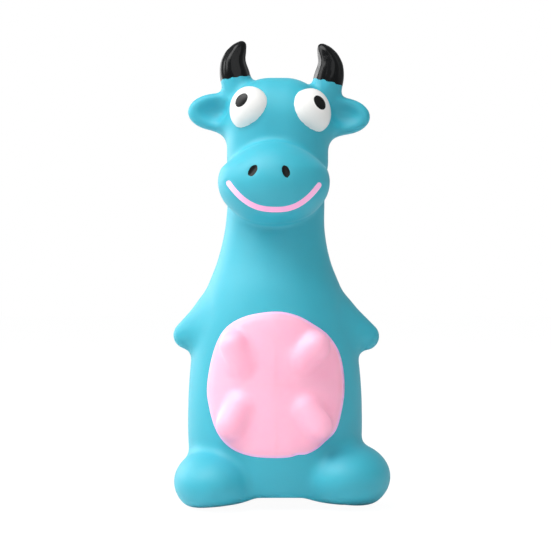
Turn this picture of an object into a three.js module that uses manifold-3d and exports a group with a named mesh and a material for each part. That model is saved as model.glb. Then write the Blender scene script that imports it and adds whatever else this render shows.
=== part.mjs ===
// Squeaky dog toy: a hollow latex cow that stands upright, with a raised udder panel in its belly,
// coloured coats on its horns, eyes, nostrils and smile, a soft filling and a reed squeaker in its base.
// Millimetres. +Z is up and the cow faces -Y. Left and right are as seen from the front: left is -X.
import * as THREE from 'three';
import { mergeVertices } from 'three/addons/utils/BufferGeometryUtils.js';
import { triTable } from 'three/addons/objects/MarchingCubes.js';
import Module from 'manifold-3d';

const wasm = await Module();
wasm.setup();

// Clearances and walls
const clearance = 0.3;
const fillingClearance = 0.6;
const latexWall = 2.2;
const coatThickness = 0.5;
const weldDistance = 0.001;
const cutOverrun = 30;

// Facet sizes: the grid on which each moulded surface is drawn
const skinFacetLength = 4.35;
const torsoFacetLength = 5.8;
const headFacetLength = 3.2;
const udderFacetLength = 2.9;
const limbFacetLength = 2.7;
const cavityFacetLength = 9.2;
const hornFacetLength = 2.3;
const coatTurns = 12;
const slopeStepLength = 0.05;

// Torso and neck: one pear, from the floor to the top of the neck
const torsoHeight = 116;
const bellyHalfWidth = 33.7;
const neckHalfWidth = 18.6;
const neckLeanWidth = 0.8;
const bellyDepthShare = 0.86;
const neckDepthShare = 0.98;
const depthTurnShares = { start: 0.35, end: 0.85 };
const bellyShares = [0.7, 0.9, 0.975, 0.985, 0.955, 0.875, 0.735, 0.505, 0.21, 0.043, 0];
const leanShares = [-0.5, -0.5, -0.5, -0.5, -0.5, -0.6, -0.8, -0.95, -1, -0.6, 0.1];
const baseFillet = 9;
const neckFillet = 10;

// Head, on the neck: a rounded block and the muzzle in front of it
const headRise = 22.8;
const headOffset = 0.6;
const headSetBack = -2.5;
const headHalfWidth = 19.4;
const headHalfDepth = 17.3;
const headHalfHeight = 24.2;
const headCorner = 16.5;
const muzzleOffset = -1.4;
const muzzleReach = 15;
const muzzleDrop = 16.4;
const muzzleHalfWidth = 21;
const muzzleHalfDepth = 19.5;
const muzzleHalfHeight = 16.2;
const muzzleFillet = 6;
const headFillet = 5;

// Horns, which bend out and then in. The shares of a path are: outward, upward and radius.
// Each is a core of the moulding under a coat, whose edge slopes up to the middle of the head.
const hornRadius = 5.6;
const hornHeight = 14.8;
const hornBend = 1.5;
const hornSetBack = 3;
const hornFillet = 4;
const hornCoatThickness = 0.8;
const hornPathShares = [
  [0, 0, 1],
  [0.35, 0.2, 0.96],
  [0.75, 0.38, 0.88],
  [1, 0.54, 0.78],
  [0.7, 0.72, 0.68],
  [0, 0.87, 0.56],
  [-0.9, 1, 0.4],
];
const leftHornSpread = 15.7;
const leftHornRise = 21.9;
const leftHornCoatRise = 24.4;
const leftHornCoatSlope = 9;
const rightHornSpread = 19;
const rightHornRise = 20.9;
const rightHornCoatRise = 22.9;
const rightHornCoatSlope = 15;

// Ears: cupped leaves beside the eyes
const earHalfLength = 11.5;
const earHalfThickness = 5.4;
const earHalfHeight = 7.2;
const earCupHalfLength = 8.2;
const earCupHalfHeight = 4.6;
const earCupOut = 1.2;
const earCupUp = 1;
const earCupForward = 6.6;
const earSetBack = 3.5;
const earFillet = 5;
const earLip = 3;
const leftEarSpread = 23.1;
const leftEarRise = 11.8;
const leftEarDroop = 0;
const rightEarSpread = 24.2;
const rightEarRise = 10;
const rightEarDroop = 2;

// Arms: short stubs that taper from the shoulders, inside the belly's width, to round hands just outside it
const shoulderRadius = 12.5;
const shoulderInset = 12.2;
const shoulderHeight = 68.5;
const handRadius = 5.3;
const armSetForward = 1;
const armFillet = 3.5;
const leftHandOut = 0.5;
const leftHandDrop = 4.1;
const rightHandOut = 0.7;
const rightHandDrop = 4.6;

// Feet: two balls in front of the torso, sunk into the floor that cuts them flat
const footHalfDepth = 22;
const footEdge = 1.5;
const footFillet = 4;
const soleCut = 0.7;
const leftFootInset = 10;
const leftFootForward = 12;
const leftFootHeight = 10.7;
const leftFootHalfWidth = 14.6;
const leftFootHalfHeight = 12.2;
const rightFootInset = 7.2;
const rightFootForward = 7;
const rightFootHeight = 12;
const rightFootHalfWidth = 16.7;
const rightFootHalfHeight = 12.7;

// Hollow under the base, which keeps the squeaker off the floor and makes the arch between the feet
const archHalfWidth = 25;
const archHalfDepth = 29;
const archHeight = 4.9;
const archForward = 12;
const archFillet = 3;

// Udder panel: the soft front of the belly, with four teats
const udderHeight = 47;
const udderInset = 7.8;
const udderHalfHeight = 27;
const udderBulgeHeight = 0.7;
const udderTravel = 8;
const udderOutlineShares = [
  [0, 1], [0.3, 0.945], [0.54, 0.82], [0.74, 0.68], [0.9, 0.46], [0.975, 0.19], [1, -0.13],
  [0.945, -0.46], [0.83, -0.71], [0.64, -0.88], [0.36, -0.975], [0, -1], [-0.32, -0.985],
  [-0.58, -0.915], [-0.76, -0.79], [-0.885, -0.6], [-0.97, -0.32], [-1, -0.06],
  [-0.94, 0.31], [-0.83, 0.62], [-0.67, 0.815], [-0.4, 0.945],
];
const udderOutlineSteps = 56;
const teatRootRadius = 5.3;
const teatTipRadius = 4.7;
const teatRootSink = 2.7;
const teatTipSink = 0.8;
const teatFillet = 3;
const teatPlaceShares = [
  { root: [-0.49, 0.27], tip: [-0.63, 0.51] },
  { root: [0.4, 0.36], tip: [0.61, 0.57] },
  { root: [-0.52, -0.31], tip: [-0.685, -0.615] },
  { root: [0.45, -0.33], tip: [0.69, -0.6] },
];

// Eyes: egg-shaped domes with oval pupils that look up and outward
const eyeHalfDepth = 6;
const eyeEggShare = 0.13;
const eyeStandOff = 3.6;
const eyeTurnOut = 20;
const eyeSpans = 20;
const pupilHalfLong = 2.9;
const pupilHalfShort = 2;
const leftEyeSpread = 10.9;
const leftEyeRise = 11.5;
const leftEyeHalfLong = 8.5;
const leftEyeHalfShort = 7.7;
const leftEyeTilt = 34;
const leftPupilOut = 0.9;
const leftPupilUp = 2.6;
const leftPupilTilt = 42;
const rightEyeSpread = 12.6;
const rightEyeRise = 10.5;
const rightEyeHalfLong = 8.8;
const rightEyeHalfShort = 8.1;
const rightEyeTilt = 38;
const rightPupilOut = 1.5;
const rightPupilUp = 2.8;
const rightPupilTilt = 36;

// Nostrils and smile, on the muzzle
const nostrilHalfLong = 2.5;
const nostrilHalfShort = 1.15;
const leftNostrilSpread = 7.7;
const leftNostrilRise = 3.2;
const leftNostrilTilt = 33;
const rightNostrilSpread = 4.4;
const rightNostrilRise = 2.8;
const rightNostrilTilt = 18;
const smileHalfWidth = 16.3;
const smileDrop = 10.9;
const smileDepth = 9.5;
const smileTilt = 1.2;
const smileRadius = 1;
const smileCurveShare = 2.5;
const smileSteps = 20;

// Squeaker: a moulded housing in the base, with a reed plate, its tongue and a perforated cap
const squeakerRadius = 7.6;
const squeakerWall = 1.2;
const squeakerHeight = 12;
const squeakerFlangeRadius = 10.6;
const squeakerFlangeThickness = 1.3;
const squeakerLip = 0.8;
const squeakerLipHeight = 0.9;
const squeakerSeatHeight = 4.4;
const squeakerSetBack = 3;
const collarThickness = 3;
const collarHeight = 3.2;
const airHoleRadius = 1.5;
const reedPlateThickness = 1.2;
const reedSlotWidth = 2;
const reedSlotLength = 6;
const reedLength = 8.4;
const reedWidth = 3;
const reedTipRadius = 1.2;
const reedThickness = 0.25;
const reedLift = 5.4;
const reedClampWidth = 5.8;
const reedClampLength = 2;
const reedClampHeight = 1.4;
const capThickness = 1.2;
const capHoleRadius = 0.9;
const capHoleRing = 3.6;
const capHoleCount = 6;
const roundSides = 24;

// Unit directions and angles
const degree = Math.PI / 180;
const axes = [0, 1, 2];
const upward = new THREE.Vector3(0, 0, 1);
const leastSlopeShare = 0.1;

// The two sides of what comes in pairs
const hornSides = [
  {
    name: 'left', side: -1, spread: leftHornSpread, rise: leftHornRise,
    coatRise: leftHornCoatRise, coatSlope: leftHornCoatSlope,
  },
  {
    name: 'right', side: 1, spread: rightHornSpread, rise: rightHornRise,
    coatRise: rightHornCoatRise, coatSlope: rightHornCoatSlope,
  },
];
const earSides = [
  { side: -1, spread: leftEarSpread, rise: leftEarRise, droop: leftEarDroop },
  { side: 1, spread: rightEarSpread, rise: rightEarRise, droop: rightEarDroop },
];
const armSides = [
  { side: -1, spread: bellyHalfWidth + leftHandOut, height: shoulderHeight - leftHandDrop },
  { side: 1, spread: bellyHalfWidth + rightHandOut, height: shoulderHeight - rightHandDrop },
];
const footSides = [
  {
    side: -1, spread: bellyHalfWidth - leftFootInset, forward: leftFootForward,
    height: leftFootHeight, halfWidth: leftFootHalfWidth, halfHeight: leftFootHalfHeight,
  },
  {
    side: 1, spread: bellyHalfWidth - rightFootInset, forward: rightFootForward,
    height: rightFootHeight, halfWidth: rightFootHalfWidth, halfHeight: rightFootHalfHeight,
  },
];
const eyeSides = [
  {
    name: 'left', side: -1, spread: leftEyeSpread, rise: leftEyeRise,
    halfLong: leftEyeHalfLong, halfShort: leftEyeHalfShort, tilt: leftEyeTilt,
    pupil: { out: leftPupilOut, up: leftPupilUp, tilt: leftPupilTilt },
  },
  {
    name: 'right', side: 1, spread: rightEyeSpread, rise: rightEyeRise,
    halfLong: rightEyeHalfLong, halfShort: rightEyeHalfShort, tilt: rightEyeTilt,
    pupil: { out: rightPupilOut, up: rightPupilUp, tilt: rightPupilTilt },
  },
];
const nostrilSides = [
  { name: 'left', side: -1, spread: leftNostrilSpread, rise: leftNostrilRise, tilt: leftNostrilTilt },
  { name: 'right', side: 1, spread: rightNostrilSpread, rise: rightNostrilRise, tilt: rightNostrilTilt },
];
const udderHalfWidth = bellyHalfWidth - udderInset;
const shoulderSpread = bellyHalfWidth - shoulderInset;

// Joins two fields with a fillet
function blend(a, b, fillet) {
  const share = Math.max(fillet - Math.abs(a - b), 0) / fillet;
  return Math.min(a, b) - (share * share * fillet) / 4;
}

// Keeps what both fields hold, with a rounded edge
function blendKeep(a, b, fillet) {
  return -blend(-a, -b, fillet);
}

// A smooth value from a table of evenly spaced shares
function alongTable(table, place) {
  const last = table.length - 1;
  const spot = Math.min(Math.max(place, 0), 1) * last;
  const low = Math.min(Math.floor(spot), last - 1);
  const t = spot - low;
  const p1 = table[low];
  const p2 = table[low + 1];
  const p0 = low > 0 ? table[low - 1] : 2 * p1 - p2;
  const p3 = low + 2 <= last ? table[low + 2] : 2 * p2 - p1;
  const first = p2 - p0;
  const second = 2 * p0 - 5 * p1 + 4 * p2 - p3;
  const third = 3 * p1 - p0 - 3 * p2 + p3;
  return p1 + ((third * t + second) * t + first) * t / 2;
}

function smoothStep(t) {
  const held = Math.min(Math.max(t, 0), 1);
  return held * held * (3 - 2 * held);
}

// Fields: each gives about the distance from a point to the surface, and is negative inside
function ellipsoid(centre, radii, tilt) {
  const cos = Math.cos(tilt);
  const sin = Math.sin(tilt);
  return (x, y, z) => {
    const dx = x - centre[0];
    const dz = z - centre[2];
    const u = (dx * cos - dz * sin) / radii[0];
    const v = (y - centre[1]) / radii[1];
    const w = (dx * sin + dz * cos) / radii[2];
    const reach = Math.hypot(u, v, w);
    const slope = Math.hypot(u / radii[0], v / radii[1], w / radii[2]);
    return reach === 0 ? -Math.min(...radii) : (reach * (reach - 1)) / slope;
  };
}

function roundedBlock(centre, halves, corner) {
  return (x, y, z) => {
    const dx = Math.abs(x - centre[0]) - halves[0] + corner;
    const dy = Math.abs(y - centre[1]) - halves[1] + corner;
    const dz = Math.abs(z - centre[2]) - halves[2] + corner;
    const outside = Math.hypot(Math.max(dx, 0), Math.max(dy, 0), Math.max(dz, 0));
    return outside + Math.min(Math.max(dx, dy, dz), 0) - corner;
  };
}

// Two balls and the cone that touches both
function taperedRod(from, to, fromRadius, toRadius) {
  const run = axes.map((axis) => to[axis] - from[axis]);
  const length = Math.hypot(...run);
  const taper = (fromRadius - toRadius) / length;
  const lean = taper / Math.sqrt(1 - taper * taper);
  return (x, y, z) => {
    const dx = x - from[0];
    const dy = y - from[1];
    const dz = z - from[2];
    const along = (dx * run[0] + dy * run[1] + dz * run[2]) / length;
    const away = Math.sqrt(Math.max(dx * dx + dy * dy + dz * dz - along * along, 0));
    const spot = Math.min(Math.max(along - away * lean, 0), length);
    return Math.hypot(along - spot, away) - fromRadius + taper * spot;
  };
}

// Torso and neck
function torso(x, y, z) {
  const place = z / torsoHeight;
  const radius = neckHalfWidth + (bellyHalfWidth - neckHalfWidth) * alongTable(bellyShares, place);
  const step = slopeStepLength / torsoHeight;
  const rise = alongTable(bellyShares, place + step) - alongTable(bellyShares, place - step);
  const slope = (rise * (bellyHalfWidth - neckHalfWidth)) / (2 * slopeStepLength);
  const turn = (place - depthTurnShares.start) / (depthTurnShares.end - depthTurnShares.start);
  const depthShare = bellyDepthShare + (neckDepthShare - bellyDepthShare) * smoothStep(turn);
  const lean = neckLeanWidth * alongTable(leanShares, place);
  const around = (Math.hypot(x - lean, y / depthShare) - radius) / Math.hypot(1, slope);
  const underTop = blendKeep(around, z - torsoHeight - neckFillet, neckFillet);
  return blendKeep(underTop, -soleCut - z, baseFillet);
}

// Head
const headHeight = torsoHeight + headRise;
const headCentre = [headOffset, headSetBack, headHeight];
const muzzleCentre = [headOffset + muzzleOffset, headSetBack - muzzleReach, headHeight - muzzleDrop];
const skull = roundedBlock(headCentre, [headHalfWidth, headHalfDepth, headHalfHeight], headCorner);
const muzzle = ellipsoid(muzzleCentre, [muzzleHalfWidth, muzzleHalfDepth, muzzleHalfHeight], 0);
const head = (x, y, z) => blend(skull(x, y, z), muzzle(x, y, z), muzzleFillet);

// Horns: the path of one horn, as points with radii
function hornPath({ side, spread, rise }) {
  const root = [headOffset + side * spread, headSetBack + hornSetBack, headHeight + rise];
  return hornPathShares.map(([out, up, thick]) => ({
    point: new THREE.Vector3(root[0] + side * out * hornBend, root[1], root[2] + up * hornHeight),
    radius: thick * hornRadius,
  }));
}

function hornField(path) {
  const rods = path.slice(1).map((end, i) => {
    const start = path[i];
    return taperedRod(start.point.toArray(), end.point.toArray(), start.radius, end.radius);
  });
  return (x, y, z) => rods.map((rod) => rod(x, y, z)).reduce((a, b) => blend(a, b, hornFillet / 2));
}

// Ears: a leaf with a cup in its front
function earField({ side, spread, rise, droop }) {
  const centre = [headOffset + side * spread, headSetBack + earSetBack, headHeight + rise];
  const cupCentre = [centre[0] + side * earCupOut, centre[1] - earCupForward, centre[2] + earCupUp];
  const tilt = side * droop * degree;
  const leaf = ellipsoid(centre, [earHalfLength, earHalfThickness, earHalfHeight], tilt);
  const cup = ellipsoid(cupCentre, [earCupHalfLength, earHalfThickness, earCupHalfHeight], tilt);
  return (x, y, z) => blendKeep(leaf(x, y, z), -cup(x, y, z), earLip);
}

function armField({ side, spread, height }) {
  const shoulder = [side * shoulderSpread, 0, shoulderHeight];
  const hand = [side * spread, -armSetForward, height];
  return taperedRod(shoulder, hand, shoulderRadius, handRadius);
}

function footField({ side, spread, forward, height, halfWidth, halfHeight }) {
  const ball = ellipsoid([side * spread, -forward, height], [halfWidth, footHalfDepth, halfHeight], 0);
  return (x, y, z) => blendKeep(ball(x, y, z), -soleCut - z, footEdge);
}

const horns = hornSides.map((horn) => ({ ...horn, path: hornPath(horn) }));
const hornFields = horns.map((horn) => hornField(horn.path));
const earFields = earSides.map(earField);
const armFields = armSides.map(armField);
const footFields = footSides.map(footField);
const arch = ellipsoid([0, -archForward, 0], [archHalfWidth, archHalfDepth, archHeight], 0);

// The parts of the moulding that are hollow: torso, head, muzzle and feet
function core(x, y, z) {
  let value = blend(torso(x, y, z), head(x, y, z), headFillet);
  value = blendKeep(value, -arch(x, y, z), archFillet);
  for (const foot of footFields) value = blend(value, foot(x, y, z), footFillet);
  return value;
}

// The whole moulding
function moulding(x, y, z) {
  let value = core(x, y, z);
  for (const arm of armFields) value = blend(value, arm(x, y, z), armFillet);
  for (const ear of earFields) value = blend(value, ear(x, y, z), earFillet);
  for (const horn of hornFields) value = blend(value, horn(x, y, z), hornFillet);
  return value;
}

// The depth at which a line along Y first meets a surface, seen from the front
function frontOf(field, x, z, from, to) {
  let near = from;
  let far = to;
  const steps = 60;
  for (let i = 1; i <= steps; i += 1) {
    const y = from + ((to - from) * i) / steps;
    if (field(x, y, z) < 0) {
      near = from + ((to - from) * (i - 1)) / steps;
      far = y;
      break;
    }
  }
  for (let i = 0; i < steps; i += 1) {
    const middle = (near + far) / 2;
    if (field(x, middle, z) < 0) far = middle;
    else near = middle;
  }
  return (near + far) / 2;
}

function slopeAt(field, point) {
  const { x, y, z } = point;
  return new THREE.Vector3(
    field(x + slopeStepLength, y, z) - field(x - slopeStepLength, y, z),
    field(x, y + slopeStepLength, z) - field(x, y - slopeStepLength, z),
    field(x, y, z + slopeStepLength) - field(x, y, z - slopeStepLength),
  ).divideScalar(2 * slopeStepLength);
}

// Moves a point onto the surface of a field
function settle(field, point) {
  for (let i = 0; i < 2; i += 1) {
    const slope = slopeAt(field, point);
    const steepness = Math.max(slope.lengthSq(), leastSlopeShare);
    point.addScaledVector(slope, -field(point.x, point.y, point.z) / steepness);
  }
}

// The corners and edges of a grid cell, in the order of the marching-cubes table
const cellCorners = [
  [0, 0, 0], [1, 0, 0], [1, 1, 0], [0, 1, 0],
  [0, 0, 1], [1, 0, 1], [1, 1, 1], [0, 1, 1],
];
const cellEdges = [
  [0, 1], [1, 2], [2, 3], [3, 0],
  [4, 5], [5, 6], [6, 7], [7, 4],
  [0, 4], [1, 5], [2, 6], [3, 7],
];

function edgeNumber(corner, axis) {
  const end = corner.map((v, a) => (a === axis ? 1 : v));
  const start = corner.map((v, a) => (a === axis ? 0 : v));
  const find = (at) => cellCorners.findIndex((c) => c.every((v, a) => v === at[a]));
  const pair = [find(start), find(end)];
  return cellEdges.findIndex((edge) => pair.includes(edge[0]) && pair.includes(edge[1]));
}

// Groups the crossed edges of one cell by the sheet of surface that crosses them
function sheetsOf(code) {
  const sheet = new Map();
  for (let i = code * 16; triTable[i] !== -1; i += 3) {
    const trio = [triTable[i], triTable[i + 1], triTable[i + 2]];
    const known = trio.map((edge) => sheet.get(edge)).filter((found) => found !== undefined);
    const joined = new Set(trio);
    for (const found of known) for (const edge of found) joined.add(edge);
    for (const edge of joined) sheet.set(edge, joined);
  }
  return [...new Set(sheet.values())];
}

// Grid lines from one place to the next, evenly spaced and no wider than each facet
function gridLines(stops, facets) {
  const lines = [stops[0]];
  facets.forEach((facet, n) => {
    const run = stops[n + 1] - stops[n];
    const count = Math.ceil(run / facet);
    for (let i = 1; i <= count; i += 1) lines.push(stops[n] + (run * i) / count);
  });
  return lines;
}

function evenGrid(low, high, facet) {
  return axes.map((a) => gridLines([low[a], high[a]], [facet]));
}

// Draws the surface of a field on a grid as a closed mesh, one point to each sheet in each cell
function surfaceOf(field, grid) {
  const counts = grid.map((lines) => lines.length);
  const number = (i, j, k) => (k * counts[1] + j) * counts[0] + i;
  const place = (i, j, k) => [grid[0][i], grid[1][j], grid[2][k]];
  const values = new Float64Array(counts[0] * counts[1] * counts[2]);
  for (let k = 0; k < counts[2]; k += 1) {
    for (let j = 0; j < counts[1]; j += 1) {
      for (let i = 0; i < counts[0]; i += 1) {
        values[number(i, j, k)] = field(...place(i, j, k));
      }
    }
  }

  const points = [];
  const owner = new Map();
  for (let k = 0; k < counts[2] - 1; k += 1) {
    for (let j = 0; j < counts[1] - 1; j += 1) {
      for (let i = 0; i < counts[0] - 1; i += 1) {
        const at = cellCorners.map(([a, b, c]) => [i + a, j + b, k + c]);
        const held = at.map((corner) => values[number(...corner)]);
        const code = held.reduce((bits, value, n) => bits + (value < 0 ? 2 ** n : 0), 0);
        if (code === 0 || code === 255) continue;
        for (const sheet of sheetsOf(code)) {
          const sum = new THREE.Vector3();
          for (const edge of sheet) {
            const [a, b] = cellEdges[edge];
            const t = held[a] / (held[a] - held[b]);
            const start = new THREE.Vector3(...place(...at[a]));
            sum.add(start.lerp(new THREE.Vector3(...place(...at[b])), t));
            owner.set(number(i, j, k) * 12 + edge, points.length);
          }
          points.push(sum.divideScalar(sheet.size));
        }
      }
    }
  }

  const quads = [];
  for (const axis of axes) {
    const next = (axis + 1) % 3;
    const last = (axis + 2) % 3;
    const ring = [[-1, -1], [0, -1], [0, 0], [-1, 0]];
    const around = ring.map(([b, c]) => {
      const step = [0, 0, 0];
      step[next] = b;
      step[last] = c;
      return { step, edge: edgeNumber(step.map((v) => -v), axis) };
    });
    const first = axes.map((a) => (a === axis ? 0 : 1));
    for (let k = first[2]; k < counts[2] - 1; k += 1) {
      for (let j = first[1]; j < counts[1] - 1; j += 1) {
        for (let i = first[0]; i < counts[0] - 1; i += 1) {
          const here = values[number(i, j, k)];
          const ahead = values[number(...[i, j, k].map((v, a) => (a === axis ? v + 1 : v)))];
          if (here < 0 === ahead < 0) continue;
          const quad = around.map(({ step, edge }) => {
            const origin = number(i + step[0], j + step[1], k + step[2]);
            return owner.get(origin * 12 + edge);
          });
          quads.push(here < 0 ? quad : quad.reverse());
        }
      }
    }
  }
  relax(field, points, quads);
  return { points, quads };
}

// Evens out the points of a mesh along its surface
function relax(field, points, quads) {
  const sums = points.map(() => new THREE.Vector3());
  for (let turn = 0; turn < 8; turn += 1) {
    const counts = new Float64Array(points.length);
    for (const sum of sums) sum.set(0, 0, 0);
    for (const quad of quads) {
      quad.forEach((corner, n) => {
        sums[corner].add(points[quad[(n + 1) % 4]]).add(points[quad[(n + 3) % 4]]);
        counts[corner] += 2;
      });
    }
    points.forEach((point, n) => {
      point.lerp(sums[n].divideScalar(counts[n]), 0.5);
      settle(field, point);
    });
  }
}

// Solids
function solidFromTriangles(points, triangles) {
  const vertProperties = new Float32Array(points.flatMap((p) => [p.x, p.y, p.z]));
  const triVerts = new Uint32Array(triangles.flat());
  const solid = new wasm.Manifold(new wasm.Mesh({ numProp: 3, vertProperties, triVerts }));
  return solid.volume() < 0 ? solidFromTriangles(points, triangles.map(([a, b, c]) => [a, c, b])) : solid;
}

// The solid inside a field, and the same mesh moved out by each of some distances
function solidsFromField(field, grid, distances) {
  const { points, quads } = surfaceOf(field, grid);
  const triangles = quads.flatMap(([a, b, c, d]) => {
    const straight = points[a].distanceTo(points[c]) < points[b].distanceTo(points[d]);
    return straight ? [[a, b, c], [a, c, d]] : [[b, c, d], [b, d, a]];
  });
  const slopes = points.map((point) => slopeAt(field, point).normalize());
  return distances.map((distance) => {
    const moved = points.map((point, n) => point.clone().addScaledVector(slopes[n], distance));
    return solidFromTriangles(moved, triangles);
  });
}

function solidFromField(field, grid) {
  return solidsFromField(field, grid, [0])[0];
}

function solidFromGeometry(geometry) {
  const bare = geometry.index ? geometry.toNonIndexed() : geometry.clone();
  bare.deleteAttribute('normal');
  bare.deleteAttribute('uv');
  const merged = mergeVertices(bare, weldDistance);
  const { array } = merged.attributes.position;
  const points = [];
  for (let i = 0; i < array.length; i += 3) points.push(new THREE.Vector3().fromArray(array, i));
  const corners = [...merged.index.array];
  const triangles = [];
  for (let i = 0; i < corners.length; i += 3) triangles.push(corners.slice(i, i + 3));
  const flat = ([a, b, c]) => a === b || b === c || c === a;
  return solidFromTriangles(points, triangles.filter((triangle) => !flat(triangle)));
}

// A round solid about a vertical line, from a closed profile of [radius, height]
function turned(profile, sides) {
  const outline = profile.map(([radius, height]) => new THREE.Vector2(radius, height));
  const geometry = new THREE.LatheGeometry([...outline, outline[0]], sides);
  return solidFromGeometry(geometry.rotateX(Math.PI / 2));
}

function block(centre, size) {
  return solidFromGeometry(new THREE.BoxGeometry(...size).translate(...centre));
}

// A thick sheet laid over a surface: rings of points round a centre, and a rim
function solidFromRings(rings, turns, place) {
  const points = [place(0, 0, 1), place(0, 0, 0)];
  const triangles = [];
  const at = (ring, turn, outer) => 2 + ((ring - 1) * turns + (turn % turns)) * 2 + (outer ? 0 : 1);
  for (let ring = 1; ring <= rings; ring += 1) {
    for (let turn = 0; turn < turns; turn += 1) {
      const angle = (2 * Math.PI * turn) / turns;
      points.push(place(ring / rings, angle, 1), place(ring / rings, angle, 0));
    }
  }
  for (let turn = 0; turn < turns; turn += 1) {
    triangles.push([0, at(1, turn, true), at(1, turn + 1, true)]);
    triangles.push([1, at(1, turn + 1, false), at(1, turn, false)]);
    const patch = (ring, outer) => [
      at(ring, turn, outer),
      at(ring + 1, turn, outer),
      at(ring + 1, turn + 1, outer),
      at(ring, turn + 1, outer),
    ];
    for (let ring = 1; ring < rings; ring += 1) {
      const outer = patch(ring, true);
      const inner = patch(ring, false);
      triangles.push([outer[0], outer[1], outer[2]], [outer[0], outer[2], outer[3]]);
      triangles.push([inner[0], inner[2], inner[1]], [inner[0], inner[3], inner[2]]);
    }
    const edge = [at(rings, turn, true), at(rings, turn + 1, true)];
    const under = [at(rings, turn, false), at(rings, turn + 1, false)];
    triangles.push([edge[0], under[0], under[1]], [edge[0], under[1], edge[1]]);
  }
  return solidFromTriangles(points, triangles);
}

// A point above the front of a surface, by the clearance and then by the coat
function coatPoint(field, x, z, reach, height) {
  const point = new THREE.Vector3(x, frontOf(field, x, z, -reach, 0), z);
  const slope = slopeAt(field, point).normalize();
  return point.addScaledVector(slope, height);
}

// Whole-toy limits, for the grid
const halfSpan = skinFacetLength + Math.max(
  ...armSides.map(({ spread }) => spread + handRadius),
  ...footSides.map(({ spread, halfWidth }) => spread + halfWidth),
  ...earSides.map(({ spread }) => headOffset + spread + earHalfLength),
);
const halfReach = skinFacetLength + Math.max(
  bellyHalfWidth * bellyDepthShare,
  muzzleReach - headSetBack + muzzleHalfDepth,
  ...footSides.map(({ forward }) => forward + footHalfDepth),
);
const floorLow = -2 * skinFacetLength;
const crown = headHeight + headHalfHeight + hornHeight + hornRadius;
const spanLow = [-halfSpan, -halfReach, floorLow];
const spanHigh = [halfSpan, halfReach, crown];

// Latex moulding: outer skin, cavity, belly opening, base collar and squeaker seat
const skinGrid = evenGrid(spanLow, spanHigh, skinFacetLength);
const limbDepth = headCorner / 2;
skinGrid[1] = gridLines(
  [-halfReach, -limbDepth, limbDepth, halfReach],
  [skinFacetLength, limbFacetLength, skinFacetLength],
);
skinGrid[2] = gridLines([floorLow, torsoHeight - headFillet, crown], [torsoFacetLength, headFacetLength]);
const [outer, grownOuter] = solidsFromField(moulding, skinGrid, [0, clearance]);
const floorCut = block([0, 0, -cutOverrun / 2], [4 * halfSpan, 4 * halfReach, cutOverrun]);
const hollow = (x, y, z) => blendKeep(core(x, y, z) + latexWall, latexWall - z, latexWall);
const cavityGrid = evenGrid(spanLow, spanHigh, cavityFacetLength);
const [cavity, stuffing] = solidsFromField(hollow, cavityGrid, [0, -fillingClearance]);

function outlinePoints(grow) {
  const half = [udderHalfWidth, udderHalfHeight];
  const corners = udderOutlineShares.map(([u, v]) => new THREE.Vector3(u * half[0], v * half[1], 0));
  const curve = new THREE.CatmullRomCurve3(corners, true);
  const turns = udderOutlineSteps;
  const spots = Array.from({ length: turns }, (_, n) => curve.getPoint(n / turns));
  return spots.map((spot, n) => {
    const along = spots[(n + 1) % turns].clone().sub(spots[(n + turns - 1) % turns]).normalize();
    return new THREE.Vector2(spot.x - along.y * grow, spot.y + along.x * grow);
  });
}

function udderPrism(grow) {
  const shape = new THREE.Shape(outlinePoints(grow));
  const depth = 2 * halfReach;
  const geometry = new THREE.ExtrudeGeometry(shape, { depth, bevelEnabled: false, steps: 1 });
  return solidFromGeometry(geometry.rotateX(Math.PI / 2).translate(0, 0, udderHeight));
}

const seat = [0, squeakerSetBack, squeakerSeatHeight];
const collarRadius = squeakerRadius + clearance + collarThickness;
const collar = turned([
  [0, 0],
  [collarRadius, 0],
  [collarRadius, collarHeight],
  [0, collarHeight],
], roundSides).translate(seat);
const seatBore = turned([
  [0, -cutOverrun],
  [squeakerFlangeRadius + clearance, -cutOverrun],
  [squeakerFlangeRadius + clearance, 0],
  [squeakerRadius + clearance, 0],
  [squeakerRadius + clearance, cutOverrun],
  [0, cutOverrun],
], roundSides).translate(seat);

// A tube along a horn's path, with a round tip
function hornTube(path, grow) {
  const curve = new THREE.CatmullRomCurve3(path.map(({ point }) => point));
  const rings = path.length - 1;
  const tipRings = 3;
  const radiusAt = (t) => alongTable(path.map(({ radius }) => radius), t) + grow;
  const stations = [];
  for (let n = 0; n <= rings; n += 1) {
    stations.push({ t: n / rings, ahead: 0, radius: radiusAt(n / rings) });
  }
  for (let n = 1; n < tipRings; n += 1) {
    const angle = (n / tipRings) * (Math.PI / 2);
    stations.push({ t: 1, ahead: radiusAt(1) * Math.sin(angle), radius: radiusAt(1) * Math.cos(angle) });
  }
  const turns = coatTurns;
  const points = [];
  const triangles = [];
  for (const { t, ahead, radius } of stations) {
    const along = curve.getTangent(t);
    const across = new THREE.Vector3(0, -1, 0);
    const up = across.clone().cross(along);
    const centre = curve.getPoint(t).addScaledVector(along, ahead);
    for (let turn = 0; turn < turns; turn += 1) {
      const angle = (2 * Math.PI * turn) / turns;
      const out = across.clone().multiplyScalar(Math.cos(angle)).addScaledVector(up, Math.sin(angle));
      points.push(centre.clone().addScaledVector(out, radius));
    }
  }
  const start = points.push(curve.getPoint(0)) - 1;
  const tip = points.push(curve.getPoint(1).addScaledVector(curve.getTangent(1), radiusAt(1))) - 1;
  const top = (stations.length - 1) * turns;
  for (let turn = 0; turn < turns; turn += 1) {
    const next = (turn + 1) % turns;
    triangles.push([start, next, turn]);
    triangles.push([tip, top + turn, top + next]);
    for (let ring = 0; ring < stations.length - 1; ring += 1) {
      const base = ring * turns;
      triangles.push([base + turn, base + next, base + turns + next]);
      triangles.push([base + turn, base + turns + next, base + turns + turn]);
    }
  }
  return solidFromTriangles(points, triangles);
}

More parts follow.
